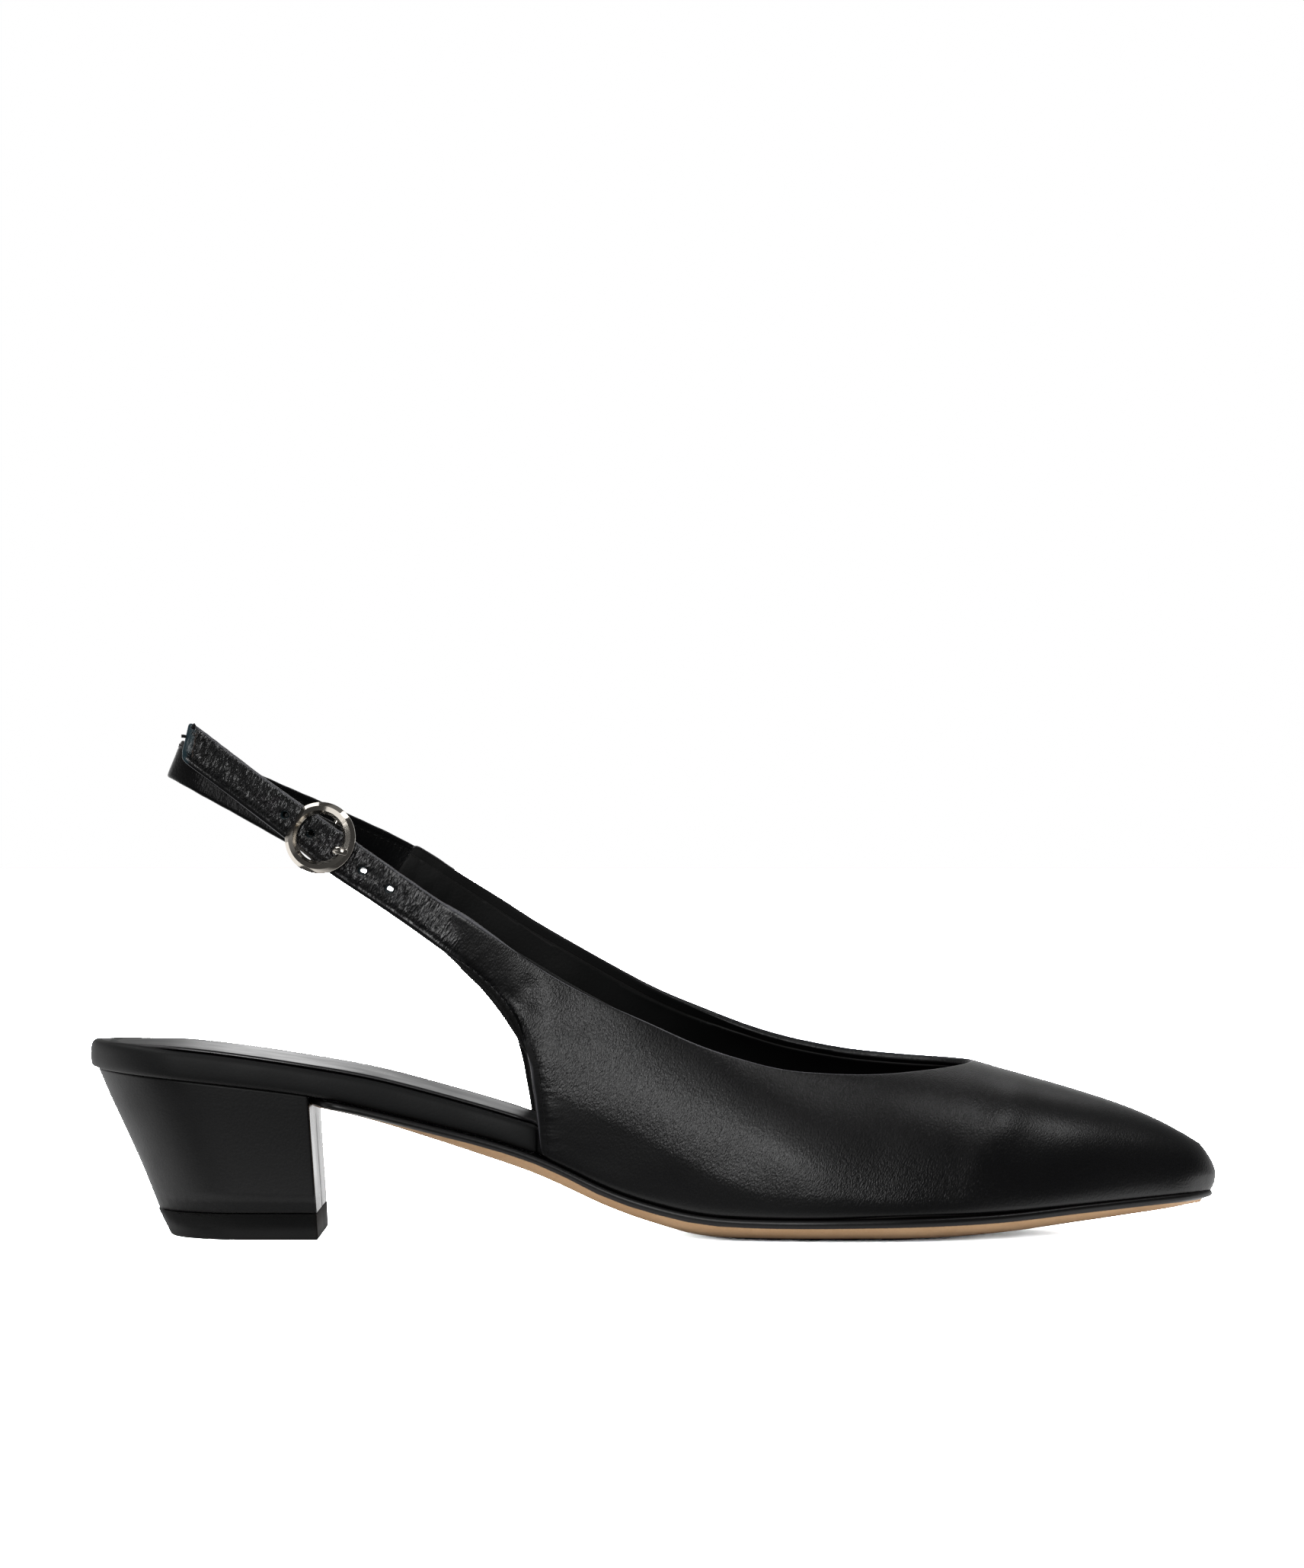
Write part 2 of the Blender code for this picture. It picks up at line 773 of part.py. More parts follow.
def in_buckle(run, across, out):
    origin, along_axis, across_axis, out_axis = buckle_frame_axes()
    return origin + along_axis * run + across_axis * across + out_axis * out


def near_height(x):
    return BUCKLE_Z - 0.3 + SLING_SLOPE * (BUCKLE_X - x)


def far_height(x):
    return look_up(SLING_FAR, "z", x)


def sling_path():
    """From the turned end at the buckle's bar, back to the fold, forward to the lap on the inner side."""
    bar = in_buckle(0.0, 0.0, -BAR_DEPTH)
    loop = BAR_RADIUS + GAP + SLING_THICKNESS / 2
    inside = WALL + 0.5 + SLING_THICKNESS / 2

    def near(x):
        p = strap_surface(LATERAL, x, near_height(x))
        return Vector((x, p.y + inside * 1.03, near_height(x)))

    def far(x):
        p = strap_surface(MEDIAL, x, far_height(x))
        return Vector((x, p.y + 0.6 + SLING_THICKNESS / 2, far_height(x)))

    run, out = buckle_frame_axes()[1], buckle_frame_axes()[3]
    path = []
    for x, rest in ((-86.0, 1.85), (-83.0, 2.0), (-80.0, 2.5), (-78.0, 2.9)):
        path.append(near(x) - out * rest)
    for degrees in (-75, -45, -15, 15, 45, 75):
        turn = math.radians(degrees)
        path.append(bar + run * (loop * math.cos(turn)) + out * (loop * math.sin(turn)))
    path += [near(x) for x in (-77.5, -80, -83, -87, -91, -95, -99)]
    first = near(SLING_TURN)
    last = far(SLING_TURN)
    leave = (first - near(SLING_TURN + 4)).normalized() * SLING_REACH
    arrive = (last - far(SLING_TURN + 4)).normalized() * SLING_REACH
    for i in range(13):
        t = i / 12
        path.append(first * (1 - t) ** 3 + (first + leave) * (3 * t * (1 - t) ** 2)
                    + (last + arrive) * (3 * t * t * (1 - t)) + last * t ** 3)
    path += [far(x) for x in (-99, -94, -88, -82, -76, -70, -64, -58, -53, SLING_FRONT)]
    return path


def make_sling(material):
    path = sling_path()
    at_buckle = buckle_frame_axes()[2]
    behind = Vector((math.sin(SLING_LEAN), 0.0, math.cos(SLING_LEAN)))
    ups = [at_buckle if i < 14 else behind for i in range(len(path))]
    bm = bmesh.new()
    add_sweep(bm, path, band(SLING_WIDTH, SLING_THICKNESS, 0.35), ups)
    piece = add_object("sling_strap", bm, material)
    slot_bm = bmesh.new()
    bmesh.ops.create_cube(slot_bm, size=1.0)
    _, run, across, out = buckle_frame_axes()
    centre = in_buckle(1.0, 0.0, -5.2)
    for vert in slot_bm.verts:
        reach = run * (vert.co.x * SLOT_LENGTH)
        reach += across * (vert.co.y * SLOT_WIDTH)
        reach += out * (vert.co.z * SLOT_DEPTH)
        vert.co = (centre + reach) * MM
    slot = add_object("cut_prong_slot", slot_bm, material)
    slot.hide_render = True
    slot.display_type = "WIRE"
    cut = piece.modifiers.new("prong_slot", "BOOLEAN")
    cut.operation = "DIFFERENCE"
    cut.solver = "EXACT"
    cut.object = slot
    return piece


def make_buckle(material):
    """Ring lying on the holed strap, with the bar it turns on carried under the strap by two legs."""
    lift = GAP + 0.35
    bm = bmesh.new()
    loops = []
    segments = 36
    for i in range(segments):
        turn = 2 * math.pi * i / segments
        loop = []
        for reach, height in RING_SECTION:
            run = (RING_RADIUS + reach) * math.cos(turn)
            run = max(run, -(RING_FLAT + reach))
            across = (RING_RADIUS + reach) * math.sin(turn)
            loop.append(bm.verts.new(in_buckle(run, across, lift + height) * MM))
        loops.append(loop)
    count = len(RING_SECTION)
    for i in range(segments):
        here = loops[i]
        there = loops[(i + 1) % segments]
        for k in range(count):
            bm.faces.new((here[k], there[k], there[(k + 1) % count], here[(k + 1) % count]))
    ring = add_object("buckle_frame", bm, material)
    bm = bmesh.new()
    corners = [
        (BAR_HALF, lift + 0.8),
        (BAR_HALF, -1.0),
        (BAR_HALF, -BAR_DEPTH + 0.9),
        (BAR_HALF - 0.3, -BAR_DEPTH + 0.2),
        (BAR_HALF - 1.0, -BAR_DEPTH),
    ]
    path = [in_buckle(0.0, across, out) for across, out in corners]
    path += [in_buckle(0.0, -across, out) for across, out in reversed(corners)]
    add_sweep(bm, path, disc(BAR_RADIUS), [buckle_frame_axes()[1]] * len(path))
    bar = add_object("add_buckle_bar", bm, material)
    bar.hide_render = True
    bar.display_type = "WIRE"
    join = ring.modifiers.new("bar", "BOOLEAN")
    join.operation = "UNION"
    join.solver = "EXACT"
    join.object = bar
    return ring


def make_prong(material):
    wrap = BAR_RADIUS + GAP + PRONG_RADIUS
    path = []
    for degrees in range(280, 99, -20):
        turn = math.radians(degrees)
        path.append(in_buckle(wrap * math.cos(turn), 0.0, -BAR_DEPTH + wrap * math.sin(turn)))
    path += [in_buckle(bend.run, bend.across, bend.out) for bend in PRONG]
    bm = bmesh.new()
    add_sweep(bm, path, disc(PRONG_RADIUS), [buckle_frame_axes()[2]] * len(path))
    return add_object("buckle_prong", bm, material)


for old in list(bpy.data.objects):
    bpy.data.objects.remove(old, do_unlink=True)

black_leather = make_material("black_leather", (0.012, 0.012, 0.013), 0.45)
footbed_leather = make_material("footbed_leather", (0.014, 0.014, 0.015), 0.5)
heel_leather = make_material("heel_leather", (0.012, 0.012, 0.013), 0.45)
sole_leather = make_material("sole_leather", (0.51, 0.33, 0.19), 0.6)
rubber = make_material("rubber", (0.015, 0.015, 0.015), 0.7)
polished_metal = make_material("polished_metal", (0.8, 0.8, 0.8), 0.15, 1.0)

make_outsole(sole_leather)
make_heel(heel_leather)
make_top_piece(rubber)
make_insole(footbed_leather)
make_sock(footbed_leather)
make_upper(black_leather)
make_sling(black_leather)
make_buckle(polished_metal)
make_prong(polished_metal)
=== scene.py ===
"""Looks of the slingback pump, right shoe: footbed, upper, sole, heel, sling and buckle, then the stage."""

import math
from collections import namedtuple

import bmesh
import bpy
from mathutils import Matrix, Vector, kdtree, noise
from mathutils.bvhtree import BVHTree


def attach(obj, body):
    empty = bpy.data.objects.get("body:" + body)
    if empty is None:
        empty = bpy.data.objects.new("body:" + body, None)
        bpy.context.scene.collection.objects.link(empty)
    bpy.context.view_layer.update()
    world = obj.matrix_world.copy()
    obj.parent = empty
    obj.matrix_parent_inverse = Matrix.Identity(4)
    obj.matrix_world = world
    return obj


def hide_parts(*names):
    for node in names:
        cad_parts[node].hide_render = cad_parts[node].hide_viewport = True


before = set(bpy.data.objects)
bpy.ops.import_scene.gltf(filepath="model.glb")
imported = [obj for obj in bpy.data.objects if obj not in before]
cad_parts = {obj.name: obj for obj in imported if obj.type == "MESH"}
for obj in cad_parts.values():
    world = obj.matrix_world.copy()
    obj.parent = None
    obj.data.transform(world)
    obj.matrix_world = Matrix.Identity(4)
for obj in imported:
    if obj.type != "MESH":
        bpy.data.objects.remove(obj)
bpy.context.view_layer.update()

# Insole: a fibre board with a thin pad, wrapped in smooth black leather that is pulled round its edge and
# glued underneath. Behind the upper it shows as a plain band with a softly rounded top edge, which is
# carried forward past the board's shoulder to the upper's rear edge.
MM = 0.001
SHOULDER_BACK = -30.2
SHOULDER_FRONT = -25.9
SHOULDER_SIDE = 18.0
BAND_FORWARD = 0.85
BAND_FALL = 0.32
REAR_PAD = 0.7
REAR_END = (108, 120)
BROAD_FACE = 30
CAP_IN = 0.6


def solid_copy(node, bends=(40,)):
    """A CAD solid as a mesh to work on: corners joined, triangles paired into quads, flattest first."""
    bm = bmesh.new()
    bm.from_mesh(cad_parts[node].data)
    bmesh.ops.remove_doubles(bm, verts=bm.verts, dist=0.01 * MM)
    for bend in bends:
        bmesh.ops.join_triangles(
            bm,
            faces=bm.faces,
            angle_face_threshold=math.radians(bend),
            angle_shape_threshold=math.radians(100),
        )
    return bm


def add_piece(bm, name, materials):
    """A piece at the origin that belongs to the shoe, with its place in its mesh."""
    mesh = bpy.data.meshes.new(name)
    bm.to_mesh(mesh)
    bm.free()
    if "custom_normal" in mesh.attributes:
        mesh.attributes.remove(mesh.attributes["custom_normal"])
    for material in materials:
        mesh.materials.append(material)
    mesh.shade_smooth()
    piece = bpy.data.objects.new(name, mesh)
    bpy.context.scene.collection.objects.link(piece)
    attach(piece, "root")
    return piece


def ramp(value, start, finish):
    """A smooth step from 0 at the start to 1 at the finish."""
    t = min(1.0, max(0.0, (value - start) / (finish - start)))
    return t * t * (3 - 2 * t)


def top_corners(bm):
    """The corners of the faces that look up."""
    return {v for f in bm.faces if f.normal.z > 0.7 for v in f.verts}


def hold_cap(bm, way, least_area, reach, level=0.82):
    """A loop close inside the border of the faces that look up or down: rounding then keeps the outline."""
    cap = [f for f in bm.faces if way * f.normal.z > level and f.calc_area() > least_area * MM ** 2]
    bmesh.ops.inset_region(bm, faces=cap, thickness=reach * MM, use_even_offset=True)


def round_off(piece, levels):
    """Live subdivision, so that the facets of the solid become one smooth face."""
    rounding = piece.modifiers.new("rounding", "SUBSURF")
    rounding.levels = levels
    rounding.render_levels = levels


def linear(code):
    """The linear colour of an sRGB hex value."""
    shares = [int(code[i:i + 2], 16) / 255 for i in (1, 3, 5)]
    lit = [c / 12.92 if c <= 0.04045 else ((c + 0.055) / 1.055) ** 2.4 for c in shares]
    return (*lit, 1.0)


def add_node(material, kind, settings, links):
    """A shader node with its settings, and its sockets set to values or linked to other sockets."""
    node = material.node_tree.nodes.new(kind)
    for name, value in settings.items():
        setattr(node, name, value)
    for socket, value in links.items():
        if isinstance(value, bpy.types.NodeSocket):
            material.node_tree.links.new(value, node.inputs[socket])
        else:
            node.inputs[socket].default_value = value
    return node


def new_material(name, roughness, specular):
    """A material with its shader, of one roughness and strength of reflection."""
    material = bpy.data.materials.new(name)
    material.use_nodes = True
    shader = material.node_tree.nodes["Principled BSDF"]
    shader.inputs["Roughness"].default_value = roughness
    shader.inputs["Specular IOR Level"].default_value = specular
    return material, shader


def even_finish(name, dark, light, roughness, specular, grain, depth, dulled=0.0):
    """A dyed and pressed surface: two close tones in soft clouds, a low sheen and a breath of grain.

    Grain and depth are in millimetres. It can be duller where the attribute "unworn" says so."""
    cloud_size = 14.0
    gloss_spread = 0.05
    material, shader = new_material(name, roughness, specular)
    place = add_node(material, "ShaderNodeTexCoord", {}, {})
    pores = add_node(material, "ShaderNodeTexNoise", {}, {
        "Vector": place.outputs["Object"],
        "Scale": 1 / (grain * MM),
        "Detail": 3.0,
        "Roughness": 0.6,
    })
    cloud = add_node(material, "ShaderNodeTexNoise", {}, {
        "Vector": place.outputs["Object"],
        "Scale": 1 / (cloud_size * MM),
        "Detail": 2.0,
    })
    tone = add_node(material, "ShaderNodeMix", {"data_type": "RGBA"}, {
        "Factor": cloud.outputs["Fac"],
        "A": linear(dark),
        "B": linear(light),
    })
    gloss = add_node(material, "ShaderNodeMapRange", {}, {
        "Value": cloud.outputs["Fac"],
        "From Min": 0.3,
        "From Max": 0.7,
        "To Min": roughness - gloss_spread,
        "To Max": roughness + gloss_spread,
    })
    relief = add_node(material, "ShaderNodeBump", {}, {
        "Height": pores.outputs["Fac"],
        "Strength": 1.0,
        "Distance": depth * MM,
    })
    finish = gloss.outputs["Result"]
    if dulled:
        unworn = add_node(material, "ShaderNodeAttribute", {"attribute_name": "unworn"}, {})
        finish = add_node(material, "ShaderNodeMath", {"operation": "MULTIPLY_ADD"}, {
            0: unworn.outputs["Fac"],
            1: dulled,
            2: finish,
        }).outputs["Value"]
    links = material.node_tree.links
    links.new(tone.outputs["Result"], shader.inputs["Base Color"])
    links.new(finish, shader.inputs["Roughness"])
    links.new(relief.outputs["Normal"], shader.inputs["Normal"])
    return material


# Plated calf, pressed smooth under heat: a low, even sheen
insole_leather = even_finish("plated_calf_band", "#0C0C0D", "#121213", 0.55, 0.32, 0.7, 0.03)
bm = solid_copy("insole")
for vert in bm.verts:
    x, y, _ = vert.co / MM
    if SHOULDER_BACK < x < SHOULDER_FRONT and abs(y) > SHOULDER_SIDE:
        shift = BAND_FORWARD * (SHOULDER_FRONT - x)
        vert.co += Vector((shift, 0.0, -BAND_FALL * shift)) * MM
for vert in top_corners(bm):
    vert.co.z += REAR_PAD * ramp(-vert.co.x / MM, *REAR_END) * MM
hold_cap(bm, 1, BROAD_FACE, CAP_IN)
hold_cap(bm, -1, BROAD_FACE, CAP_IN)
insole = add_piece(bm, "insole_wrapped", [insole_leather])
round_off(insole, 2)
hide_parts("insole")

# Sock lining: a thin sheet of black lining leather, cut a little smaller than the insole and glued on it.
# Its face turns silver where the heel has polished it and it mirrors the bright wall behind at a low angle.
SOCK_CAP_IN = 0.4
SOCK_DIVE = 0.4
HEEL_REST = -88.0
HEEL_REST_REACH = 22.0
BEHIND_HEEL = (100, 116)

# Polished lining leather: a soft mirror under the heel, duller before and behind it
sock_leather = even_finish("polished_lining_leather", "#101011", "#17171A", 0.17, 0.8, 0.9, 0.01, 0.17)
bm = solid_copy("sock_lining")
unworn = bm.verts.layers.float.new("unworn")
for vert in bm.verts:
    vert.co.z -= SOCK_DIVE * ramp(-vert.co.x / MM, *REAR_END) * MM
hold_cap(bm, 1, 0, SOCK_CAP_IN)
hold_cap(bm, -1, 0, SOCK_CAP_IN)
for vert in bm.verts:
    x = vert.co.x / MM
    vert[unworn] = 1 - math.exp(-((x - HEEL_REST) / HEEL_REST_REACH) ** 2) + ramp(-x, *BEHIND_HEEL)
sock = add_piece(bm, "sock_sheet", [sock_leather])
round_off(sock, 2)
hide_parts("sock_lining")

# Upper: soft black goat leather, lasted over the toe and round the sides, with its edge folded in along
# the top line. The outer side runs back into the holed strap. The rear edges are stitched to the lining.
# All places are in millimetres from the middle of the shoe, and heights are over the floor.
RIM_ROUND = 0.5
SKIN_BEND = 50
LINE_STEP = 0.3
STITCH_INSET = 1.65
STITCH_SINK = 0.16
HEM_TURN = 0.25
PUCKER = 0.2
LASTED_WAVE = 0.2
STRAP_WRINKLE = 0.12
ROOT_TWIST = 0.22
ROOT_DENT = 1.0
FOOT_SINK = 0.9
STRAP_ROOT = -50.0
STRAP_OUT = Vector((-0.17517, -0.9789, 0.10525))
HOLE_RADIUS = 0.9
HOLE_RIM = 1.2
HOLE_REACH = 2.4
HOLE_CLOSE = 0.12
STRAP_THROUGH = 4.0
TOE_TIGHT = 0.7
ROOT_TIGHT = 0.6
TUCK_TIGHT = 0.85
TIP_FROM = 118.0
TIP_OVER_FOOT = 1.5
TIP_SMOOTHING = 5
LATERAL_FOOT = (-25.6, -25.9, 19.6)
LATERAL_END_LOW = (-108.7, -9.0, 109.3)
LATERAL_END_HIGH = (-106.5, -9.2, 118.6)
TOE_FOOT = (128.8, 0.0, 10.6)
MEDIAL_FOOT = (-28.0, 20.0, 20.5)
MEDIAL_END_LOW = (-60.5, 18.4, 82.0)
MEDIAL_END_HIGH = (-55.5, 18.4, 90.0)

# Soft folds of the leather on the outer side, in side view: middle, turn from the long axis of the shoe,
# reach along and across, and height over the lasted face
Fold = namedtuple("Fold", "x z turn along across height")
FOLDS = [
    Fold(-27.0, 60.0, 72, 7.0, 2.8, -0.4),
    Fold(-22.0, 58.0, 74, 8.0, 3.2, 0.15),
    Fold(60.0, 14.0, 85, 14.0, 15.0, -1.0),
    Fold(74.0, 28.0, 58, 8.0, 3.5, -0.25),
    Fold(79.5, 26.5, 58, 9.0, 3.8, 0.45),
    Fold(88.5, 22.5, 58, 10.0, 7.0, -0.3),
    Fold(28.0, 24.0, -42, 16.0, 6.0, 0.3),
    Fold(45.0, 30.0, -30, 16.0, 7.0, -0.35),
    Fold(128.5, 17.0, -62, 7.0, 5.0, 0.75),
]
# Under this line of the outer side, in side view, the leather is drawn in towards the narrow waist
TUCK_LINE = [
    (-27.0, 36.5), (-10.0, 28.5), (6.0, 20.0), (14.0, 15.8),
    (25.0, 11.2), (60.0, 10.2), (95.0, 10.8), (130.0, 13.5),
]
TUCK = 0.9
TUCK_SHARE = 0.075
TUCK_FADE = 16.0


def skin_from(start, sharpest):
    """Faces that can be reached without crossing an edge sharper than that."""
    found = {start}
    todo = [start]
    while todo:
        for edge in todo.pop().edges:
            if edge.calc_face_angle(0.0) < sharpest:
                for face in edge.link_faces:
                    if face not in found:
                        found.add(face)
                        todo.append(face)
    return found


def borders_of(skin):
    """The closed borders of a skin, longest first, each as its edges and its corners in order."""
    left = {e for f in skin for e in f.edges if sum(other in skin for other in e.link_faces) == 1}
    borders = []
    while left:
        edge = left.pop()
        edges = [edge]
        corners = [edge.verts[0], edge.verts[1]]
        while corners[-1] is not corners[0]:
            following = next((e for e in corners[-1].link_edges if e in left), None)
            if following is None:
                break
            left.remove(following)
            edges.append(following)
            corners.append(following.other_vert(corners[-1]))
        borders.append((edges, corners[:-1]))
    return sorted(borders, key=lambda border: -len(border[0]))


def stretch(loop, start, finish):
    """The shorter way along a closed loop of points between the ones nearest to start and finish."""
    i, j = (min(range(len(loop)), key=lambda k: (loop[k] - Vector(p) * MM).length) for p in (start, finish))
    ahead = [loop[k % len(loop)] for k in range(i, (j if j > i else j + len(loop)) + 1)]
    back = [loop[k % len(loop)] for k in range(i, (j if j < i else j - len(loop)) - 1, -1)]
    lengths = [sum((b - a).length for a, b in zip(way, way[1:])) for way in (ahead, back)]
    return ahead if lengths[0] < lengths[1] else back


def spaced(line, step):
    """Points along a line at an even step, with their direction."""
    places = []
    left = step / 2
    for a, b in zip(line, line[1:]):
        length = (b - a).length
        while left < length:
            places.append((a.lerp(b, left / length), (b - a).normalized()))
            left += step
        left -= length
    return places


def tree_of(line):
    """A search tree over a line of points, to find how far a place is from it and how far along."""
    points = [p for p, _ in spaced(line, LINE_STEP * MM)]
    tree = kdtree.KDTree(len(points))
    for i, p in enumerate(points):
        tree.insert(p, i)
    tree.balance()
    return tree


def height_at(x, line):
    """The height of a line of (x, z) points at one place."""
    for (xa, za), (xb, zb) in zip(line, line[1:]):
        if x <= xb:
            return za + (zb - za) * max(0.0, x - xa) / max(xb - xa, 1e-9)
    return line[-1][1]


def dense_copy(bm, levels):
    """The mesh after subdivision, as real faces that folds can be pressed into."""
    mesh = bpy.data.meshes.new("dense")
    bm.to_mesh(mesh)
    bm.free()
    holder = bpy.data.objects.new("dense", mesh)
    bpy.context.scene.collection.objects.link(holder)
    round_off(holder, levels)
    graph = bpy.context.evaluated_depsgraph_get()
    fine = bpy.data.meshes.new_from_object(holder.evaluated_get(graph))
    bm = bmesh.new()
    bm.from_mesh(fine)
    bpy.data.objects.remove(holder)
    bpy.data.meshes.remove(mesh)
    bpy.data.meshes.remove(fine)
    return bm


bm = solid_copy("upper")
tip = max(bm.faces, key=lambda f: f.calc_center_median().x if f.normal.x > 0 else -1)
outside = skin_from(tip, math.radians(SKIN_BEND))
hollow = max(bm.faces, key=lambda f: f.calc_center_median().x if f.normal.x < -0.3 else -1)
inside = skin_from(hollow, math.radians(SKIN_BEND))
for face in bm.faces:
    face.material_index = 1 if face in inside else 0
(outer_edges, outer_corners), *small_borders = borders_of(outside)
inner_edges, inner_corners = borders_of(inside)[0]
# Of the small borders, only those behind the strap's root are holes
holes = [sum((v.co for v in corners), Vector()) / len(corners) for _, corners in small_borders]
holes = [hole for hole in holes if hole.x < STRAP_ROOT * MM]
rim = [corner.co.copy() for corner in outer_corners]
lateral_rear = stretch(rim, LATERAL_FOOT, LATERAL_END_LOW)
medial_rear = stretch(rim, MEDIAL_FOOT, MEDIAL_END_LOW)
top_line = stretch(rim, LATERAL_END_HIGH, MEDIAL_END_HIGH)
feather = stretch(rim, LATERAL_FOOT, TOE_FOOT)
inner_rim = [corner.co.copy() for corner in inner_corners]
inner_top = stretch(inner_rim, LATERAL_END_HIGH, MEDIAL_END_HIGH)
inner_rears = [
    stretch(inner_rim, LATERAL_FOOT, LATERAL_END_LOW),
    stretch(inner_rim, MEDIAL_FOOT, MEDIAL_END_LOW),
]
foot_points = {tuple(p) for p in feather}
turned_in = [e for e in outer_edges if any(tuple(v.co) not in foot_points for v in e.verts)]
bmesh.ops.bevel(
    bm,
    geom=turned_in + inner_edges,
    offset=RIM_ROUND * MM,
    offset_type="OFFSET",
    affect="EDGES",
    segments=2,
    profile=0.5,
    material=-1,
)
bm = dense_copy(bm, 2)
bm.normal_update()
slack = bm.verts.layers.float.new("slack")
hem = bm.verts.layers.float.new("hem")
# Painted highlight: a share for a light line along the folded top edge, half as strong along the stitched
# rear edges
painted_rim_highlight = bm.verts.layers.float.new("painted_rim_highlight")
raw = bm.verts.layers.float.new("raw")
along_edge = bm.verts.layers.float.new("along_edge")
from_edge = bm.verts.layers.float.new("from_edge")
tight = bm.verts.layers.float.new("tight")
rear_tree = tree_of(lateral_rear + medial_rear[::-1])
edge_tree = tree_of(top_line)
inner_edge = tree_of(medial_rear)
strap_end = tree_of([Vector(LATERAL_END_LOW) * MM, Vector(LATERAL_END_HIGH) * MM])
foot = sorted((p.x / MM, p.z / MM) for p in feather)


def hem_rise(reach, place):
    """The stitched hem: a groove under the stitches, an edge turned in and short puckers behind it."""
    groove = STITCH_SINK * math.exp(-((reach - STITCH_INSET) / 0.5) ** 2)
    turned = HEM_TURN * (1 - ramp(reach, 0.0, 2.0))
    fading = math.exp(-max(0.0, reach - STITCH_INSET) / 3.0) * ramp(reach, 1.2, 2.6)
    return PUCKER * fading * noise.noise(Vector((place / 1.6, reach / 5, 0.0))) - groove - turned


def tuck_rise(x, z):
    """The bulge along the tuck line: it fades out upwards, and runs down straight to the foot."""
    line = height_at(x, TUCK_LINE)
    low = max(0.5, line - height_at(x, foot))
    depth = line - z
    bulge = math.exp(-(depth / TUCK_FADE) ** 2) if depth < 0 else 1 - min(1.0, depth / low)
    return min(TUCK, TUCK_SHARE * low) * bulge * ramp(x, -36, -24)


def folds_rise(x, z):
    """The folds, summed."""
    rise = 0.0
    for fold in FOLDS:
        c, s = math.cos(math.radians(fold.turn)), math.sin(math.radians(fold.turn))
        u = (x - fold.x) * c + (z - fold.z) * s
        v = (z - fold.z) * c - (x - fold.x) * s
        rise += fold.height * math.exp(-(u / fold.along) ** 2 - (v / fold.across) ** 2)
    return rise


def strap_place(x, z):
    """The distances of a place along and over the slope of the strap, in side view."""
    return 0.83 * x - 0.55 * z, 0.55 * x + 0.83 * z


def root_rise(x, z):
    """The root of the strap: its upper edge twisted outwards, and a dent where it widens into the side."""
    over = max(-6.0, strap_place(x, z)[1] - 34.4)
    twisted = ramp(x, -50, -41) * (1 - ramp(x, -36, -22))
    dented = ramp(x, -46, -28) * (1 - ramp(x, -28, 4)) * ramp(z, 40, 52)
    return ROOT_TWIST * twisted * over - ROOT_DENT * dented


for vert in bm.verts:
    x, y, z = vert.co / MM
    outer_side = y < 0
    lining_side = all(face.material_index == 1 for face in vert.link_faces)
    _, place, reach = rear_tree.find(vert.co)
    place *= LINE_STEP
    reach /= MM
    from_top = edge_tree.find(vert.co)[2] / MM
    from_end = strap_end.find(vert.co)[2] / MM + 0.5 * noise.noise(vert.co / (0.9 * MM))

    vert[slack] = 1 - ramp(x, -52, -38)
    vert[hem] = 1 - ramp(reach, 1.2, 2.2)
    vert[painted_rim_highlight] = max(1 - ramp(from_top, 0.25, 0.5), 0.5 - 0.5 * ramp(reach, 0.25, 0.5))
    vert[raw] = max(1 - ramp(from_end, 1.5, 1.9), 1 - ramp(inner_edge.find(vert.co)[2] / MM, 0.5, 0.9))
    vert[along_edge] = place
    vert[from_edge] = reach
    vert[tight] = TOE_TIGHT * ramp(x, 68, 95)
    if outer_side:
        root = ramp(x, -52, -42) * (1 - ramp(x, -32, -24)) * ramp(z, 48, 56)
        drawn = ramp(height_at(x, TUCK_LINE) - z, -0.5, 2.5)
        vert[tight] = max(vert[tight], ROOT_TIGHT * root, TUCK_TIGHT * drawn)

    rise = LASTED_WAVE * ramp(z, 8, 20) * noise.noise(Vector((x / 17, y / 17, z / 12)))
    if not lining_side:
        rise += hem_rise(reach, place)
        if outer_side:
            rise += tuck_rise(x, z)
    if outer_side:
        rise += root_rise(x, z)
    rise += folds_rise(x, z) * (1 - ramp(y, 0, 9)) * ramp(from_top, 0.5, 6.0)
    along, over = strap_place(x, z)
    wrinkle = noise.noise(Vector((along / 2.2, over / 7.0, y / 6)))
    rise += STRAP_WRINKLE * vert[slack] * wrinkle * (1 - vert[hem])
    vert.co += (-vert.normal if lining_side else vert.normal) * (rise * MM)

    if x > -26:
        near_foot = 1 - ramp(z - height_at(x, foot), 0.0, 3.0)
        vert.co.z -= FOOT_SINK * (0.4 + 0.6 * ramp(x, 80, 110)) * near_foot * MM
    for hole in holes:
        aside = vert.co - hole
        through = aside.dot(STRAP_OUT)
        aside -= STRAP_OUT * through
        from_axis = aside.length / MM
        if from_axis < HOLE_REACH and abs(through) < STRAP_THROUGH * MM:
            vert.co -= aside.normalized() * (HOLE_CLOSE * MM * (1 - ramp(from_axis, HOLE_RADIUS, HOLE_REACH)))
            vert[raw] = max(vert[raw], 0.7 - 0.7 * ramp(from_axis, HOLE_RADIUS, HOLE_RIM))

tip_skin = [
    v for v in bm.verts
    if v.co.x > TIP_FROM * MM
    and v.co.z / MM > height_at(v.co.x / MM, foot) + TIP_OVER_FOOT
    and all(f.material_index == 0 for f in v.link_faces)
]
for _ in range(TIP_SMOOTHING):
    bmesh.ops.smooth_vert(bm, verts=tip_skin, factor=0.5, use_axis_x=True, use_axis_y=True, use_axis_z=True)

upper_faces = bm.copy()


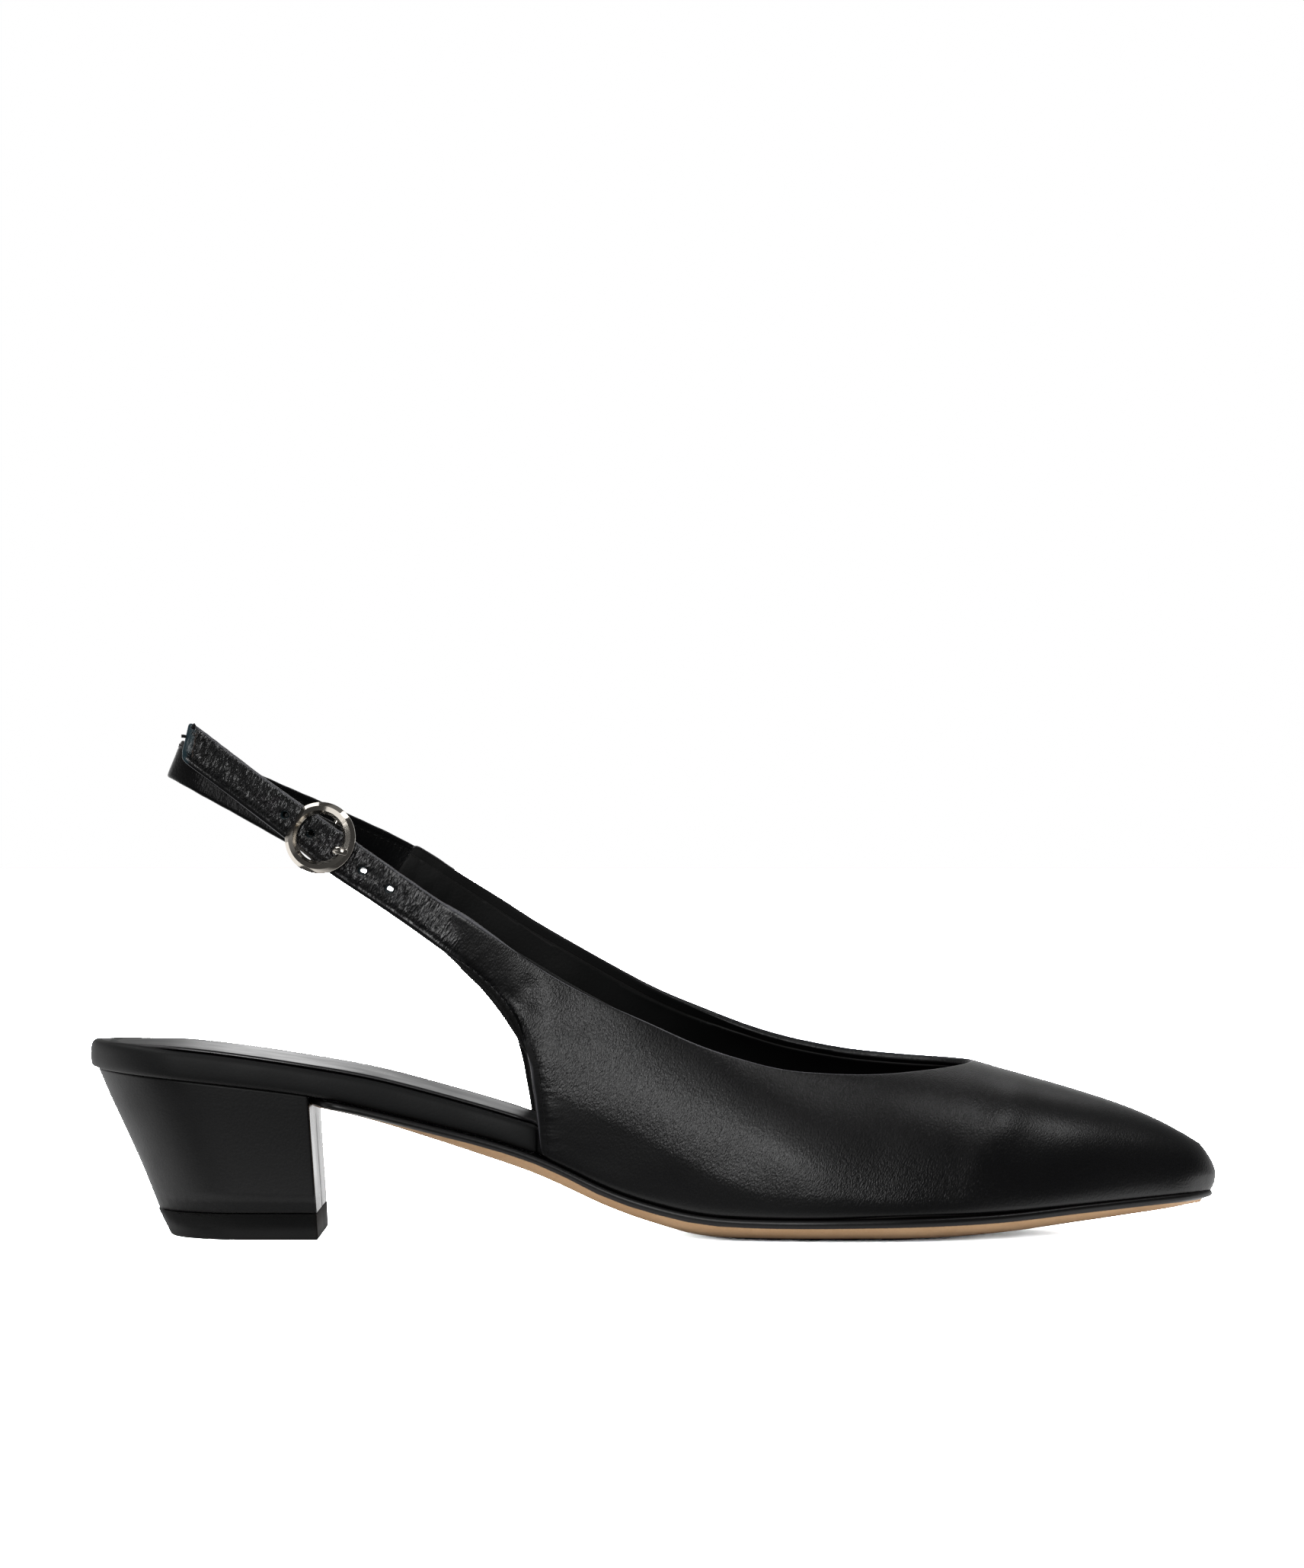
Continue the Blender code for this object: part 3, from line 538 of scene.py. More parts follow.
def grain_leather(name, cut_colour, shine):
    """Soft goat nappa: a fine grain of short strokes, drawn somewhat coarser than real so that it shows.

    The grain is stretched on the last, crumpled and shinier on the strap, pressed flat along the hem and
    drawn into short pleats towards the stitches. Sizes are in millimetres."""
    stroke = (0.32, 0.45, 0.65)
    stroke_lean = 27
    crease = (0.62, 2.1, 2.7)
    crease_lean = 30
    pleat = (0.8, 3.5)
    pleats_from, pleats_to = 1.5, 7.0
    depth = 0.125
    cloud_size = 11.0
    material, shader = new_material(name, 0.3, shine)
    place = add_node(material, "ShaderNodeTexCoord", {}, {})
    slack_share = add_node(material, "ShaderNodeAttribute", {"attribute_name": "slack"}, {})
    hem_share = add_node(material, "ShaderNodeAttribute", {"attribute_name": "hem"}, {})
    rim_highlight_share = add_node(material, "ShaderNodeAttribute", {"attribute_name": "painted_rim_highlight"}, {})
    raw_share = add_node(material, "ShaderNodeAttribute", {"attribute_name": "raw"}, {})
    tight_share = add_node(material, "ShaderNodeAttribute", {"attribute_name": "tight"}, {})
    along = add_node(material, "ShaderNodeAttribute", {"attribute_name": "along_edge"}, {})
    inward = add_node(material, "ShaderNodeAttribute", {"attribute_name": "from_edge"}, {})

    strokes_at = add_node(material, "ShaderNodeMapping", {"vector_type": "TEXTURE"}, {
        "Vector": place.outputs["Object"],
        "Rotation": (0.0, math.radians(stroke_lean), 0.0),
        "Scale": Vector(stroke) * MM,
    })
    strokes = add_node(material, "ShaderNodeTexNoise", {}, {
        "Vector": strokes_at.outputs["Vector"],
        "Scale": 1.0,
        "Detail": 2.0,
        "Roughness": 0.55,
        "Distortion": 0.2,
    })
    crumple_at = add_node(material, "ShaderNodeMapping", {"vector_type": "TEXTURE"}, {
        "Vector": place.outputs["Object"],
        "Rotation": (0.0, math.radians(crease_lean), 0.0),
        "Scale": Vector(crease) * MM,
    })
    crumple = add_node(material, "ShaderNodeTexNoise", {}, {
        "Vector": crumple_at.outputs["Vector"],
        "Scale": 1.0,
        "Detail": 2.0,
        "Roughness": 0.45,
        "Distortion": 0.3,
    })
    pleats_at = add_node(material, "ShaderNodeCombineXYZ", {}, {
        0: along.outputs["Fac"],
        1: inward.outputs["Fac"],
    })
    squeezed = add_node(material, "ShaderNodeVectorMath", {"operation": "MULTIPLY"}, {
        0: pleats_at.outputs["Vector"],
        1: (1 / pleat[0], 1 / pleat[1], 0.0),
    })
    pleats = add_node(material, "ShaderNodeTexNoise", {"noise_dimensions": "2D"}, {
        "Vector": squeezed.outputs["Vector"],
        "Scale": 1.0,
        "Detail": 2.0,
    })
    pulled = add_node(material, "ShaderNodeMapRange", {"interpolation_type": "SMOOTHSTEP"}, {
        "Value": inward.outputs["Fac"],
        "From Min": pleats_from,
        "From Max": pleats_to,
        "To Min": 1.75,
        "To Max": 0.0,
    })
    drawn = add_node(material, "ShaderNodeMath", {"operation": "MULTIPLY"}, {
        0: pleats.outputs["Fac"],
        1: pulled.outputs["Result"],
    })
    grain = add_node(material, "ShaderNodeMath", {"operation": "ADD"}, {
        0: strokes.outputs["Fac"],
        1: drawn.outputs["Value"],
    })
    faint = add_node(material, "ShaderNodeMath", {"operation": "MULTIPLY_ADD"}, {
        0: strokes.outputs["Fac"],
        1: 0.35,
        2: drawn.outputs["Value"],
    })
    creased = add_node(material, "ShaderNodeMath", {"operation": "MULTIPLY_ADD"}, {
        0: crumple.outputs["Fac"],
        1: 3.6,
        2: faint.outputs["Value"],
    })
    surface = add_node(material, "ShaderNodeMix", {"data_type": "FLOAT"}, {
        "Factor": slack_share.outputs["Fac"],
        "A": grain.outputs["Value"],
        "B": creased.outputs["Value"],
    })
    edge_share = add_node(material, "ShaderNodeMath", {"operation": "MAXIMUM"}, {
        0: hem_share.outputs["Fac"],
        1: raw_share.outputs["Fac"],
    })
    flat_share = add_node(material, "ShaderNodeMath", {"operation": "MAXIMUM"}, {
        0: edge_share.outputs["Value"],
        1: tight_share.outputs["Fac"],
    })
    pressed = add_node(material, "ShaderNodeMath", {"operation": "MULTIPLY_ADD"}, {
        0: flat_share.outputs["Value"],
        1: -0.8,
        2: 1.0,
    })
    relief = add_node(material, "ShaderNodeBump", {}, {
        "Height": surface.outputs["Result"],
        "Strength": pressed.outputs["Value"],
        "Distance": depth * MM,
    })
    cloud = add_node(material, "ShaderNodeTexNoise", {}, {
        "Vector": place.outputs["Object"],
        "Scale": 1 / (cloud_size * MM),
        "Detail": 3.0,
    })
    tone = add_node(material, "ShaderNodeMix", {"data_type": "RGBA"}, {
        "Factor": cloud.outputs["Fac"],
        "A": linear("#070708"),
        "B": linear("#0E0E10"),
    })
    # Painted highlight: the base colour turns light grey along the folded top edge and the rear edges
    highlight_painted = add_node(material, "ShaderNodeMix", {"data_type": "RGBA"}, {
        "Factor": rim_highlight_share.outputs["Fac"],
        "A": tone.outputs["Result"],
        "B": linear("#74747A"),
    })
    ended = add_node(material, "ShaderNodeMix", {"data_type": "RGBA"}, {
        "Factor": raw_share.outputs["Fac"],
        "A": highlight_painted.outputs["Result"],
        "B": linear(cut_colour),
    })
    gloss = add_node(material, "ShaderNodeMapRange", {}, {
        "Value": slack_share.outputs["Fac"],
        "To Min": 0.3,
        "To Max": 0.24,
    })
    links = material.node_tree.links
    links.new(ended.outputs["Result"], shader.inputs["Base Color"])
    links.new(gloss.outputs["Result"], shader.inputs["Roughness"])
    links.new(relief.outputs["Normal"], shader.inputs["Normal"])
    return material


nappa = grain_leather("goat_nappa", "#2A3F47", 0.5)
# The flesh side of the nappa: black all through and dull
suede_back = even_finish("nappa_back", "#070707", "#0C0C0C", 0.6, 0.22, 0.5, 0.04)
upper = add_piece(bm, "upper_lasted", [nappa, suede_back])
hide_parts("upper")

# Upper stitching: black bonded thread that holds the upper to its lining. It is sewn right through, in a row
# along both rear edges and the lower edge of the strap.
STITCH_PITCH = 1.75
STITCH_LENGTH = 1.25
STITCH_WIDTH = 0.38
OUT_OF_WALL = 0.8


def sew(bm, place, run, out, length, width):
    """One stitch: a small bead drawn out along the row, half sunk into the leather."""
    along = (run - out * run.dot(out)).normalized()
    turn = Matrix((along, out.cross(along), out)).transposed().to_4x4()
    shape = Matrix.Diagonal((length / 2 * MM, width / 2 * MM, width / 2 * MM, 1.0))
    bead = Matrix.Translation(place) @ turn @ shape
    bmesh.ops.create_icosphere(bm, subdivisions=1, radius=1.0, matrix=bead)


surface = BVHTree.FromBMesh(upper_faces)
bm = bmesh.new()
for row, outward in ((lateral_rear, Vector((0, -1, 0))), (medial_rear, Vector((0, 1, 0)))):
    for place, run in spaced(row, STITCH_PITCH * MM):
        side = run.cross(outward).normalized()
        inward = side if side.x + side.z > 0 else -side
        guess = place + (inward * STITCH_INSET + outward * OUT_OF_WALL) * MM
        spot, out, _, _ = surface.find_nearest(guess)
        sew(bm, spot, run, out, STITCH_LENGTH, STITCH_WIDTH)
# Bonded thread: waxed black and nearly dull
thread = even_finish("bonded_thread", "#080809", "#101011", 0.6, 0.3, 0.25, 0.03)
stitches = add_piece(bm, "upper_stitches", [thread])

# Loose ends: a bar of stitches that keeps the strap's raw end from opening, its thread worn pale and brown,
# and two stubs of thread that stand out of the edge.
STRAP_RUN = Vector((0.81, -0.25, -0.53))
BAR_IN = 2.3
BAR_WAY = Vector((0.35, 0.0, 1.0))
WORN_WIDTH = 0.42
FRAY_RADIUS = 0.38

# Each worn stitch of the bar: its place, as a share of the way up the end, and its length
WORN_STITCHES = [(0.27, 1.1), (0.36, 0.9), (0.52, 1.6), (0.66, 1.8), (0.78, 1.0)]
FRAYS = [
    [(-107.2, -9.5, 114.9), (-107.8, -9.7, 115.0), (-108.2, -9.8, 115.0)],
    [(-105.8, -9.9, 116.8), (-105.3, -10.0, 117.5), (-105.0, -10.0, 117.7)],
]


def wire(points, radius):
    """A round wire through the points, as a mesh."""
    curve = bpy.data.curves.new("wire", "CURVE")
    curve.dimensions = "3D"
    curve.bevel_depth = radius * MM
    curve.bevel_resolution = 2
    curve.use_fill_caps = True
    line = curve.splines.new("POLY")
    line.points.add(len(points) - 1)
    for point, place in zip(line.points, points):
        point.co = (*(Vector(place) * MM), 1.0)
    holder = bpy.data.objects.new("wire", curve)
    bpy.context.scene.collection.objects.link(holder)
    graph = bpy.context.evaluated_depsgraph_get()
    mesh = bpy.data.meshes.new_from_object(holder.evaluated_get(graph))
    bpy.data.objects.remove(holder)
    bpy.data.curves.remove(curve)
    return mesh


bm = bmesh.new()
for share, length in WORN_STITCHES:
    edge = Vector(LATERAL_END_LOW).lerp(Vector(LATERAL_END_HIGH), share) + STRAP_RUN * BAR_IN
    spot, out, _, _ = surface.find_nearest((edge + Vector((0, -2, 0))) * MM)
    sew(bm, spot, BAR_WAY, out, length, WORN_WIDTH)
# The same thread with its dye rubbed off: pale, brownish and dull
worn_thread = even_finish("worn_thread", "#3A3431", "#6E625B", 0.6, 0.3, 0.25, 0.03)
wear_and_shade = add_piece(bm, "strap_worn_bar", [worn_thread])
bm = bmesh.new()
for fray in FRAYS:
    bm.from_mesh(wire(fray, FRAY_RADIUS))
frays = add_piece(bm, "strap_frays", [thread])

# Lining: thin black goat lining glued inside the upper. It stops short of the folded top edge, which
# leaves a narrow lip, runs out to the stitched rear edges and ends well inside the toe.
LINING_BELOW_TOP = 2.3
LINING_SNAP = 2.0
LINING_FROM_REAR = 0.8
LINING_GAUGE = 0.4
LINING_FRONT = 104.0

bm = upper_faces
top_tree = tree_of(inner_top)
inner_rear_tree = tree_of(inner_rears[0] + inner_rears[1][::-1])
spare = []
for face in bm.faces:
    middle = face.calc_center_median()
    near_top = top_tree.find(middle)[2] < LINING_BELOW_TOP * MM
    near_rear = inner_rear_tree.find(middle)[2] < LINING_FROM_REAR * MM
    if face.material_index == 0 or near_top or near_rear or middle.x > LINING_FRONT * MM:
        spare.append(face)
bmesh.ops.delete(bm, geom=spare, context="FACES")
for vert in bm.verts:
    if vert.is_boundary:
        edge, _, reach = top_tree.find(vert.co)
        if abs(reach / MM - LINING_BELOW_TOP) < LINING_SNAP:
            vert.co += (vert.co - edge).normalized() * (LINING_BELOW_TOP * MM - reach)
bm.normal_update()
for face in bm.faces:
    face.material_index = 0
sheet = bm.verts[:]
bmesh.ops.extrude_edge_only(bm, edges=[e for e in bm.edges if e.is_boundary])
for vert in sheet:
    vert.co += vert.normal * (LINING_GAUGE * MM)
# Goat lining: thin, dull and finely grained
lining_leather = even_finish("goat_lining", "#090909", "#0F0F0F", 0.5, 0.24, 0.8, 0.035)
lining = add_piece(bm, "upper_lining", [lining_leather])

# Outsole: one bend of sole leather, its edge trimmed round and inked black, its underside left tan. It is
# cemented on under the upper and the insole, and its end is held under the front of the heel.
INK_DEPTH = 1.55
SOLE_END = -76.5
SOLE_UNDER_HEEL = 1.5
SOLE_CAP_IN = 0.5
RIM_UP = 0.65
RIM_SIDE = 0.5
bm = solid_copy("outsole", (3, 8, 14, 40))
for vert in bm.verts:
    if vert.co.x < SOLE_END * MM:
        vert.co.x -= SOLE_UNDER_HEEL * MM
hold_cap(bm, 1, 0, SOLE_CAP_IN)
crests = {1: [], -1: []}
for vert in bm.verts:
    steepness = [f.normal.z for f in vert.link_faces]
    if max(steepness) > RIM_UP and min(abs(nz) for nz in steepness) < RIM_SIDE:
        crests[1 if vert.co.y > 0 else -1].append((vert.co.x, vert.co.z))
for crest in crests.values():
    crest.sort()
bm = dense_copy(bm, 2)
below = bm.verts.layers.float.new("below")
for vert in bm.verts:
    crest = crests[1 if vert.co.y > 0 else -1]
    vert[below] = (height_at(vert.co.x, crest) - vert.co.z) / MM


def sole_bend(name):
    """Vegetable-tanned sole bend: sanded and waxed, pale tan with faint clouds, its edge inked black.

    Towards the floor it is darker: painted shade. Sizes are in millimetres."""
    cloud_size = 20.0
    speck = 0.6
    depth_of_specks = 0.03
    shade_height = 3.5
    material, shader = new_material(name, 0.5, 0.4)
    place = add_node(material, "ShaderNodeTexCoord", {}, {})
    depth = add_node(material, "ShaderNodeAttribute", {"attribute_name": "below"}, {})
    cloud = add_node(material, "ShaderNodeTexNoise", {}, {
        "Vector": place.outputs["Object"],
        "Scale": 1 / (cloud_size * MM),
        "Detail": 5.0,
        "Roughness": 0.6,
    })
    specks = add_node(material, "ShaderNodeTexNoise", {}, {
        "Vector": place.outputs["Object"],
        "Scale": 1 / (speck * MM),
        "Detail": 3.0,
        "Roughness": 0.7,
    })
    mottled = add_node(material, "ShaderNodeMath", {"operation": "MULTIPLY_ADD"}, {
        0: specks.outputs["Fac"],
        1: 0.35,
        2: cloud.outputs["Fac"],
    })
    tone = add_node(material, "ShaderNodeMapRange", {}, {
        "Value": mottled.outputs["Value"],
        "From Min": 0.4,
        "From Max": 0.95,
    })
    tan = add_node(material, "ShaderNodeMix", {"data_type": "RGBA"}, {
        "Factor": tone.outputs["Result"],
        "A": linear("#C69A6E"),
        "B": linear("#E6BC90"),
    })
    parts = add_node(material, "ShaderNodeSeparateXYZ", {}, {0: place.outputs["Object"]})
    # Painted shade: below 3.5 mm over the floor the tan is mixed towards dark brown, where the underside
    # turns into shadow
    ground_shade = add_node(material, "ShaderNodeMapRange", {}, {
        "Value": parts.outputs["Z"],
        "From Min": 0.0,
        "From Max": shade_height * MM,
        "To Min": 0.35,
        "To Max": 0.0,
    })
    wear_and_shade = add_node(material, "ShaderNodeMix", {"data_type": "RGBA"}, {
        "Factor": ground_shade.outputs["Result"],
        "A": tan.outputs["Result"],
        "B": linear("#3A2A20"),
    })
    wobble = add_node(material, "ShaderNodeMath", {"operation": "MULTIPLY_ADD"}, {
        0: specks.outputs["Fac"],
        1: 0.12,
        2: depth.outputs["Fac"],
    })
    bare = add_node(material, "ShaderNodeMapRange", {}, {
        "Value": wobble.outputs["Value"],
        "From Min": INK_DEPTH - 0.05,
        "From Max": INK_DEPTH + 0.15,
    })
    colour = add_node(material, "ShaderNodeMix", {"data_type": "RGBA"}, {
        "Factor": bare.outputs["Result"],
        "A": linear("#0E0D0D"),
        "B": wear_and_shade.outputs["Result"],
    })
    gloss = add_node(material, "ShaderNodeMapRange", {}, {
        "Value": bare.outputs["Result"],
        "To Min": 0.34,
        "To Max": 0.55,
    })
    relief = add_node(material, "ShaderNodeBump", {}, {
        "Height": specks.outputs["Fac"],
        "Strength": 1.0,
        "Distance": depth_of_specks * MM,
    })
    links = material.node_tree.links
    links.new(colour.outputs["Result"], shader.inputs["Base Color"])
    links.new(gloss.outputs["Result"], shader.inputs["Roughness"])
    links.new(relief.outputs["Normal"], shader.inputs["Normal"])
    return material


outsole = add_piece(bm, "outsole_bend", [sole_bend("sole_bend")])
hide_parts("outsole")

# Heel block: a moulded block covered in smooth black leather, which is drawn round the sides and meets in
# a butted seam down the middle of the breast. It is screwed on under the heel seat.
HEEL_ROUND = 0.7
SHARP_BEND = 45
HEEL_FOOT = 8.0
SEAM_TOP = 28.0
SEAM_WIDTH = 3.0
SEAM_DEPTH = 0.5
SEAT_IN = 0.6
LOOKS_FORWARD = 0.9
bm = solid_copy("heel_block")
for y in (-SEAM_WIDTH / 2, 0.0, SEAM_WIDTH / 2):
    breast = [f for f in bm.faces if f.normal.x > LOOKS_FORWARD]
    breast += list({e for f in breast for e in f.edges}) + list({v for f in breast for v in f.verts})
    bmesh.ops.bisect_plane(bm, geom=breast, dist=0.001 * MM, plane_co=(0, y * MM, 0), plane_no=(0, 1, 0))
for vert in bm.verts:
    on_breast = any(f.normal.x > LOOKS_FORWARD for f in vert.link_faces)
    if on_breast and abs(vert.co.y) < 0.01 * MM and vert.co.z < SEAM_TOP * MM:
        vert.co.x -= SEAM_DEPTH * MM
for vert in top_corners(bm):
    vert.co.z += SEAT_IN * MM
# The breast has the second finish; its upper edge, once rounded, keeps that of the sides
for face in bm.faces:
    face.material_index = 1 if face.normal.x > 0.6 else 0
sharp = [
    e for e in bm.edges
    if e.calc_face_angle(0.0) > math.radians(SHARP_BEND)
    and not all(abs(v.co.y) < SEAM_WIDTH * MM for v in e.verts)
    and max(v.co.z for v in e.verts) > HEEL_FOOT * MM
]
bmesh.ops.bevel(
    bm,
    geom=sharp,
    offset=HEEL_ROUND * MM,
    offset_type="OFFSET",
    affect="EDGES",
    segments=3,
    profile=0.5,
    material=-1,
)
for face in bm.faces:
    if face.normal.z > 0.25:
        face.material_index = 0


def even_normals(piece):
    """Keeps flat faces flat in shading beside their rounded edges."""
    flat = piece.modifiers.new("flat_faces", "WEIGHTED_NORMAL")
    flat.keep_sharp = True
    flat.weight = 80


# Plated calf drawn tight over the block: a low sheen on the sides, and the flat breast mirrors softly
heel_cover = even_finish("heel_cover_calf", "#0C0C0D", "#121213", 0.48, 0.33, 0.6, 0.05)
breast_cover = even_finish("heel_breast_calf", "#0C0C0D", "#121213", 0.25, 0.5, 0.8, 0.015)
heel = add_piece(bm, "heel_covered", [heel_cover, breast_cover])
even_normals(heel)
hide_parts("heel_block")

# Heel top piece: a 6 mm lift of dense black rubber, nailed and glued under the heel. It is sanded flush with
# the covered block, and its lower edge is broken.
LIFT_ROUND = 0.35
LIFT_EDGE = 4.0
bm = solid_copy("heel_top_piece")
sharp = [
    e for e in bm.edges
    if e.calc_face_angle(0.0) > math.radians(SHARP_BEND) and min(v.co.z for v in e.verts) < LIFT_EDGE * MM
]
bmesh.ops.bevel(
    bm,
    geom=sharp,
    offset=LIFT_ROUND * MM,
    offset_type="OFFSET",
    affect="EDGES",
    segments=2,
    profile=0.5,
    material=-1,
)
# Dense rubber, sanded: black and nearly matt
lift_rubber = even_finish("sanded_rubber", "#0E0E0E", "#141414", 0.62, 0.2, 0.4, 0.03)
top_piece = add_piece(bm, "heel_lift", [lift_rubber])
even_normals(top_piece)
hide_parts("heel_top_piece")

# Sling strap: a folded strip of the same goat leather, backed and stitched along its lower edge, where the
# brown backing shows. One end is lapped on the inner side of the upper, the other turned round the bar.
SLING_STITCH_UP = 2.1
SLING_STITCH_DOWN = 1.6
SLING_STITCH_SINK = (0.15, 0.12)
SLING_BEAD = 0.12
SLING_THIN = 0.3
SLING_WAVE = 0.1
ACROSS_EDGE = 7.5
ACROSS_CUTS = 5
FAR_FROM_HEM = 20.0
ACROSS_SLING = Vector((0.41, 0.0, 0.91))


def strip_line(faces):
    """The middle line of a strip of faces, walked from one end to the other."""
    left = set(faces)

    def beside(face):
        return [other for e in face.edges for other in e.link_faces if other in left and other is not face]

    face = next(f for f in faces if len(beside(f)) == 1)
    line = []
    while face is not None:
        left.discard(face)
        line.append(face.calc_center_median())
        face = next(iter(beside(face)), None)
    return line


bm = solid_copy("sling_strap")
low_line = strip_line([f for f in bm.faces if f.normal.z < -0.8])
high_line = strip_line([f for f in bm.faces if f.normal.z > 0.8])
low_tree = tree_of(low_line)
high_tree = tree_of(high_line)
wide = []
for edge in bm.edges:
    line = edge.verts[1].co - edge.verts[0].co
    if line.length > ACROSS_EDGE * MM and abs(line.normalized().z) > 0.7:
        wide.append(edge)
bmesh.ops.subdivide_edges(bm, edges=wide, cuts=ACROSS_CUTS, use_grid_fill=True)
for face in bm.faces:
    face.material_index = 0
bm = dense_copy(bm, 2)
bm.normal_update()
slack = bm.verts.layers.float.new("slack")
hem = bm.verts.layers.float.new("hem")
raw = bm.verts.layers.float.new("raw")
from_edge = bm.verts.layers.float.new("from_edge")
for vert in bm.verts:
    x, y, z = vert.co / MM
    up = low_tree.find(vert.co)[2] / MM
    down = high_tree.find(vert.co)[2] / MM
    vert[slack] = 0.2
    vert[hem] = max(1 - ramp(up, 2.0, 3.2), 0.75 if vert.normal.y * y < 0 else 0.3)
    vert[raw] = 1 - ramp(up, 0.5, 0.75)
    vert[from_edge] = FAR_FROM_HEM
    rise = SLING_WAVE * noise.noise(Vector((x / 3.0, y / 3.0, z / 6.0)))
    rise -= SLING_STITCH_SINK[0] * math.exp(-((up - SLING_STITCH_UP) / 0.4) ** 2)
    rise += SLING_BEAD * math.exp(-((up - SLING_STITCH_UP + 0.7) / 0.35) ** 2)
    rise -= SLING_STITCH_SINK[1] * math.exp(-((down - SLING_STITCH_DOWN) / 0.4) ** 2)
    rise -= SLING_THIN * (1 - ramp(up, 0.5, 1.6))
    vert.co += vert.normal * (rise * MM)
sling_surface = BVHTree.FromBMesh(bm)
sling = add_piece(bm, "sling_folded", [grain_leather("goat_nappa_backed", "#54483F", 0.2)])
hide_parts("sling_strap")

# Sling stitching: the same bonded thread, sewn right through the strap in a row along either edge. The rows
# stop short of the turn round the buckle's bar.
NEAR_BUCKLE = 13.0
BUCKLE_PLACE = Vector((-75.7, -17.075, 91.6))

bm = bmesh.new()
for row, inset in ((low_line, SLING_STITCH_UP), (high_line, -SLING_STITCH_DOWN)):
    for place, run in spaced(row, STITCH_PITCH * MM):
        if (place / MM - BUCKLE_PLACE).length > NEAR_BUCKLE:
            side = run.cross(ACROSS_SLING).normalized()
            for way in (1, -1):
                guess = place + (ACROSS_SLING * inset + side * (3 * way)) * MM
                spot, out, _, _ = sling_surface.find_nearest(guess)
                sew(bm, spot, run, out, STITCH_LENGTH, STITCH_WIDTH)
sling_stitches = add_piece(bm, "sling_stitches", [thread])

# Buckle: a cast ring with a slightly sloped face between two bevels, flattened outside towards the heel, and
# a bar under the strap that the sling is turned round. It is nickel plated and polished.
BUCKLE_RUN = Vector((0.83908, -0.20435, -0.50417))
BUCKLE_ACROSS = STRAP_OUT.cross(BUCKLE_RUN)
RING_STEPS = 72
RING_CREASE = 25
RING_RADIUS = 6.9
RING_FLAT = 5.75
# The ring's section: how far out from its middle line, and how far over the strap
RING_SECTION = [
    (-1.30, 0.65), (-1.40, 0.80), (-1.40, 1.25), (-0.70, 2.20), (0.40, 1.98), (1.24, 1.22),
    (1.35, 1.05), (1.35, 0.80), (1.20, 0.65),
]
# One half of the bar, from the ring down to its level run: how far across, and how far over the strap
BAR = [(6.5, 1.45), (6.5, -1.0), (6.5, -3.8), (6.2, -4.5), (5.5, -4.7)]
BAR_RADIUS = 0.7

bm = bmesh.new()
profile = [bm.verts.new((RING_RADIUS + reach, 0.0, height)) for reach, height in RING_SECTION]
outline = [bm.edges.new(pair) for pair in zip(profile, profile[1:] + profile[:1])]
bmesh.ops.spin(
    bm,
    geom=profile + outline,
    cent=(0, 0, 0),
    axis=(0, 0, 1),
    angle=2 * math.pi,
    steps=RING_STEPS,
    use_merge=True,
)
bmesh.ops.recalc_face_normals(bm, faces=bm.faces)
for vert in bm.verts:
    reach = vert.co.xy.length - RING_RADIUS
    if reach > 0:
        vert.co.x = max(vert.co.x, -(RING_FLAT + reach))
for edge in bm.edges:
    edge.smooth = edge.calc_face_angle(0.0) < math.radians(RING_CREASE)
bm.transform(Matrix.Scale(MM, 4))
bm.from_mesh(wire([(0, a, h) for a, h in BAR] + [(0, -a, h) for a, h in reversed(BAR)], BAR_RADIUS))
on_strap = Matrix((BUCKLE_RUN, BUCKLE_ACROSS, STRAP_OUT)).transposed().to_4x4()
on_strap.translation = BUCKLE_PLACE * MM
bm.transform(on_strap)
# Polished nickel plate: a sharp mirror, a little warmer than silver
plated, shader = new_material("polished_nickel", 0.09, 0.5)
shader.inputs["Metallic"].default_value = 1.0
shader.inputs["Base Color"].default_value = linear("#CAC4BB")
buckle = add_piece(bm, "buckle_ring", [plated])
even_normals(buckle)
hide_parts("buckle_frame")

# Prong: a bent wire, looped round the bar, up through the hole and over the ring, with a wide flattened tip
# that lies straight across it.
TIP_WIDER = 1.5
TIP_SHORTER = 0.07
TIP_START = 4.3
TIP_RISE = (1.2, 2.4)

# Where the solid's tip runs and where it is turned to: how far along the strap, and how far across it
TIP_LINE = [(4.3, -0.75), (4.5, -0.7), (5.1, -0.3), (6.2, 0.5), (7.4, 1.2), (8.1, 1.5)]
TIP_TURNED = [(4.3, -0.75), (5.1, -0.45), (6.2, -0.1), (8.1, 0.3)]
bm = solid_copy("buckle_prong")
bm.transform(on_strap.inverted())
for vert in bm.verts:
    run, across, out = vert.co / MM
    tip = ramp(out, *TIP_RISE)
    aside = across - height_at(run, TIP_LINE)
    turned = height_at(run, TIP_TURNED) + TIP_WIDER * aside
    vert.co.y = (across + tip * (turned - across)) * MM
    vert.co.x -= TIP_SHORTER * tip * (run - TIP_START) * MM
bm.transform(on_strap)
prong = add_piece(bm, "buckle_tongue", [plated])
round_off(prong, 2)
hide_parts("buckle_prong")

# Stage: a white paper sweep, lit from overhead until it burns out, which leaves only the contact shadows.
# The camera sees white all over. To the shoe the paper and the room in front are dim but for a few soft
# windows, so that black leather shows its form; the walls behind and on the left are bright.
FLOOR_HALF = 6.0
DIM_PAPER = (-0.055, -0.035)
WALL_BEHIND = 0.85
WALL_ASIDE = 0.5
ROOM_DIM = 0.06
bm = bmesh.new()
bmesh.ops.create_grid(bm, x_segments=1, y_segments=1, size=FLOOR_HALF)
mesh = bpy.data.meshes.new("floor")
bm.to_mesh(mesh)
bm.free()
floor = bpy.data.objects.new("floor", mesh)
bpy.context.scene.collection.objects.link(floor)
paper, shader = new_material("white_paper", 0.9, 0.0)
place = add_node(paper, "ShaderNodeTexCoord", {}, {})
parts = add_node(paper, "ShaderNodeSeparateXYZ", {}, {0: place.outputs["Object"]})
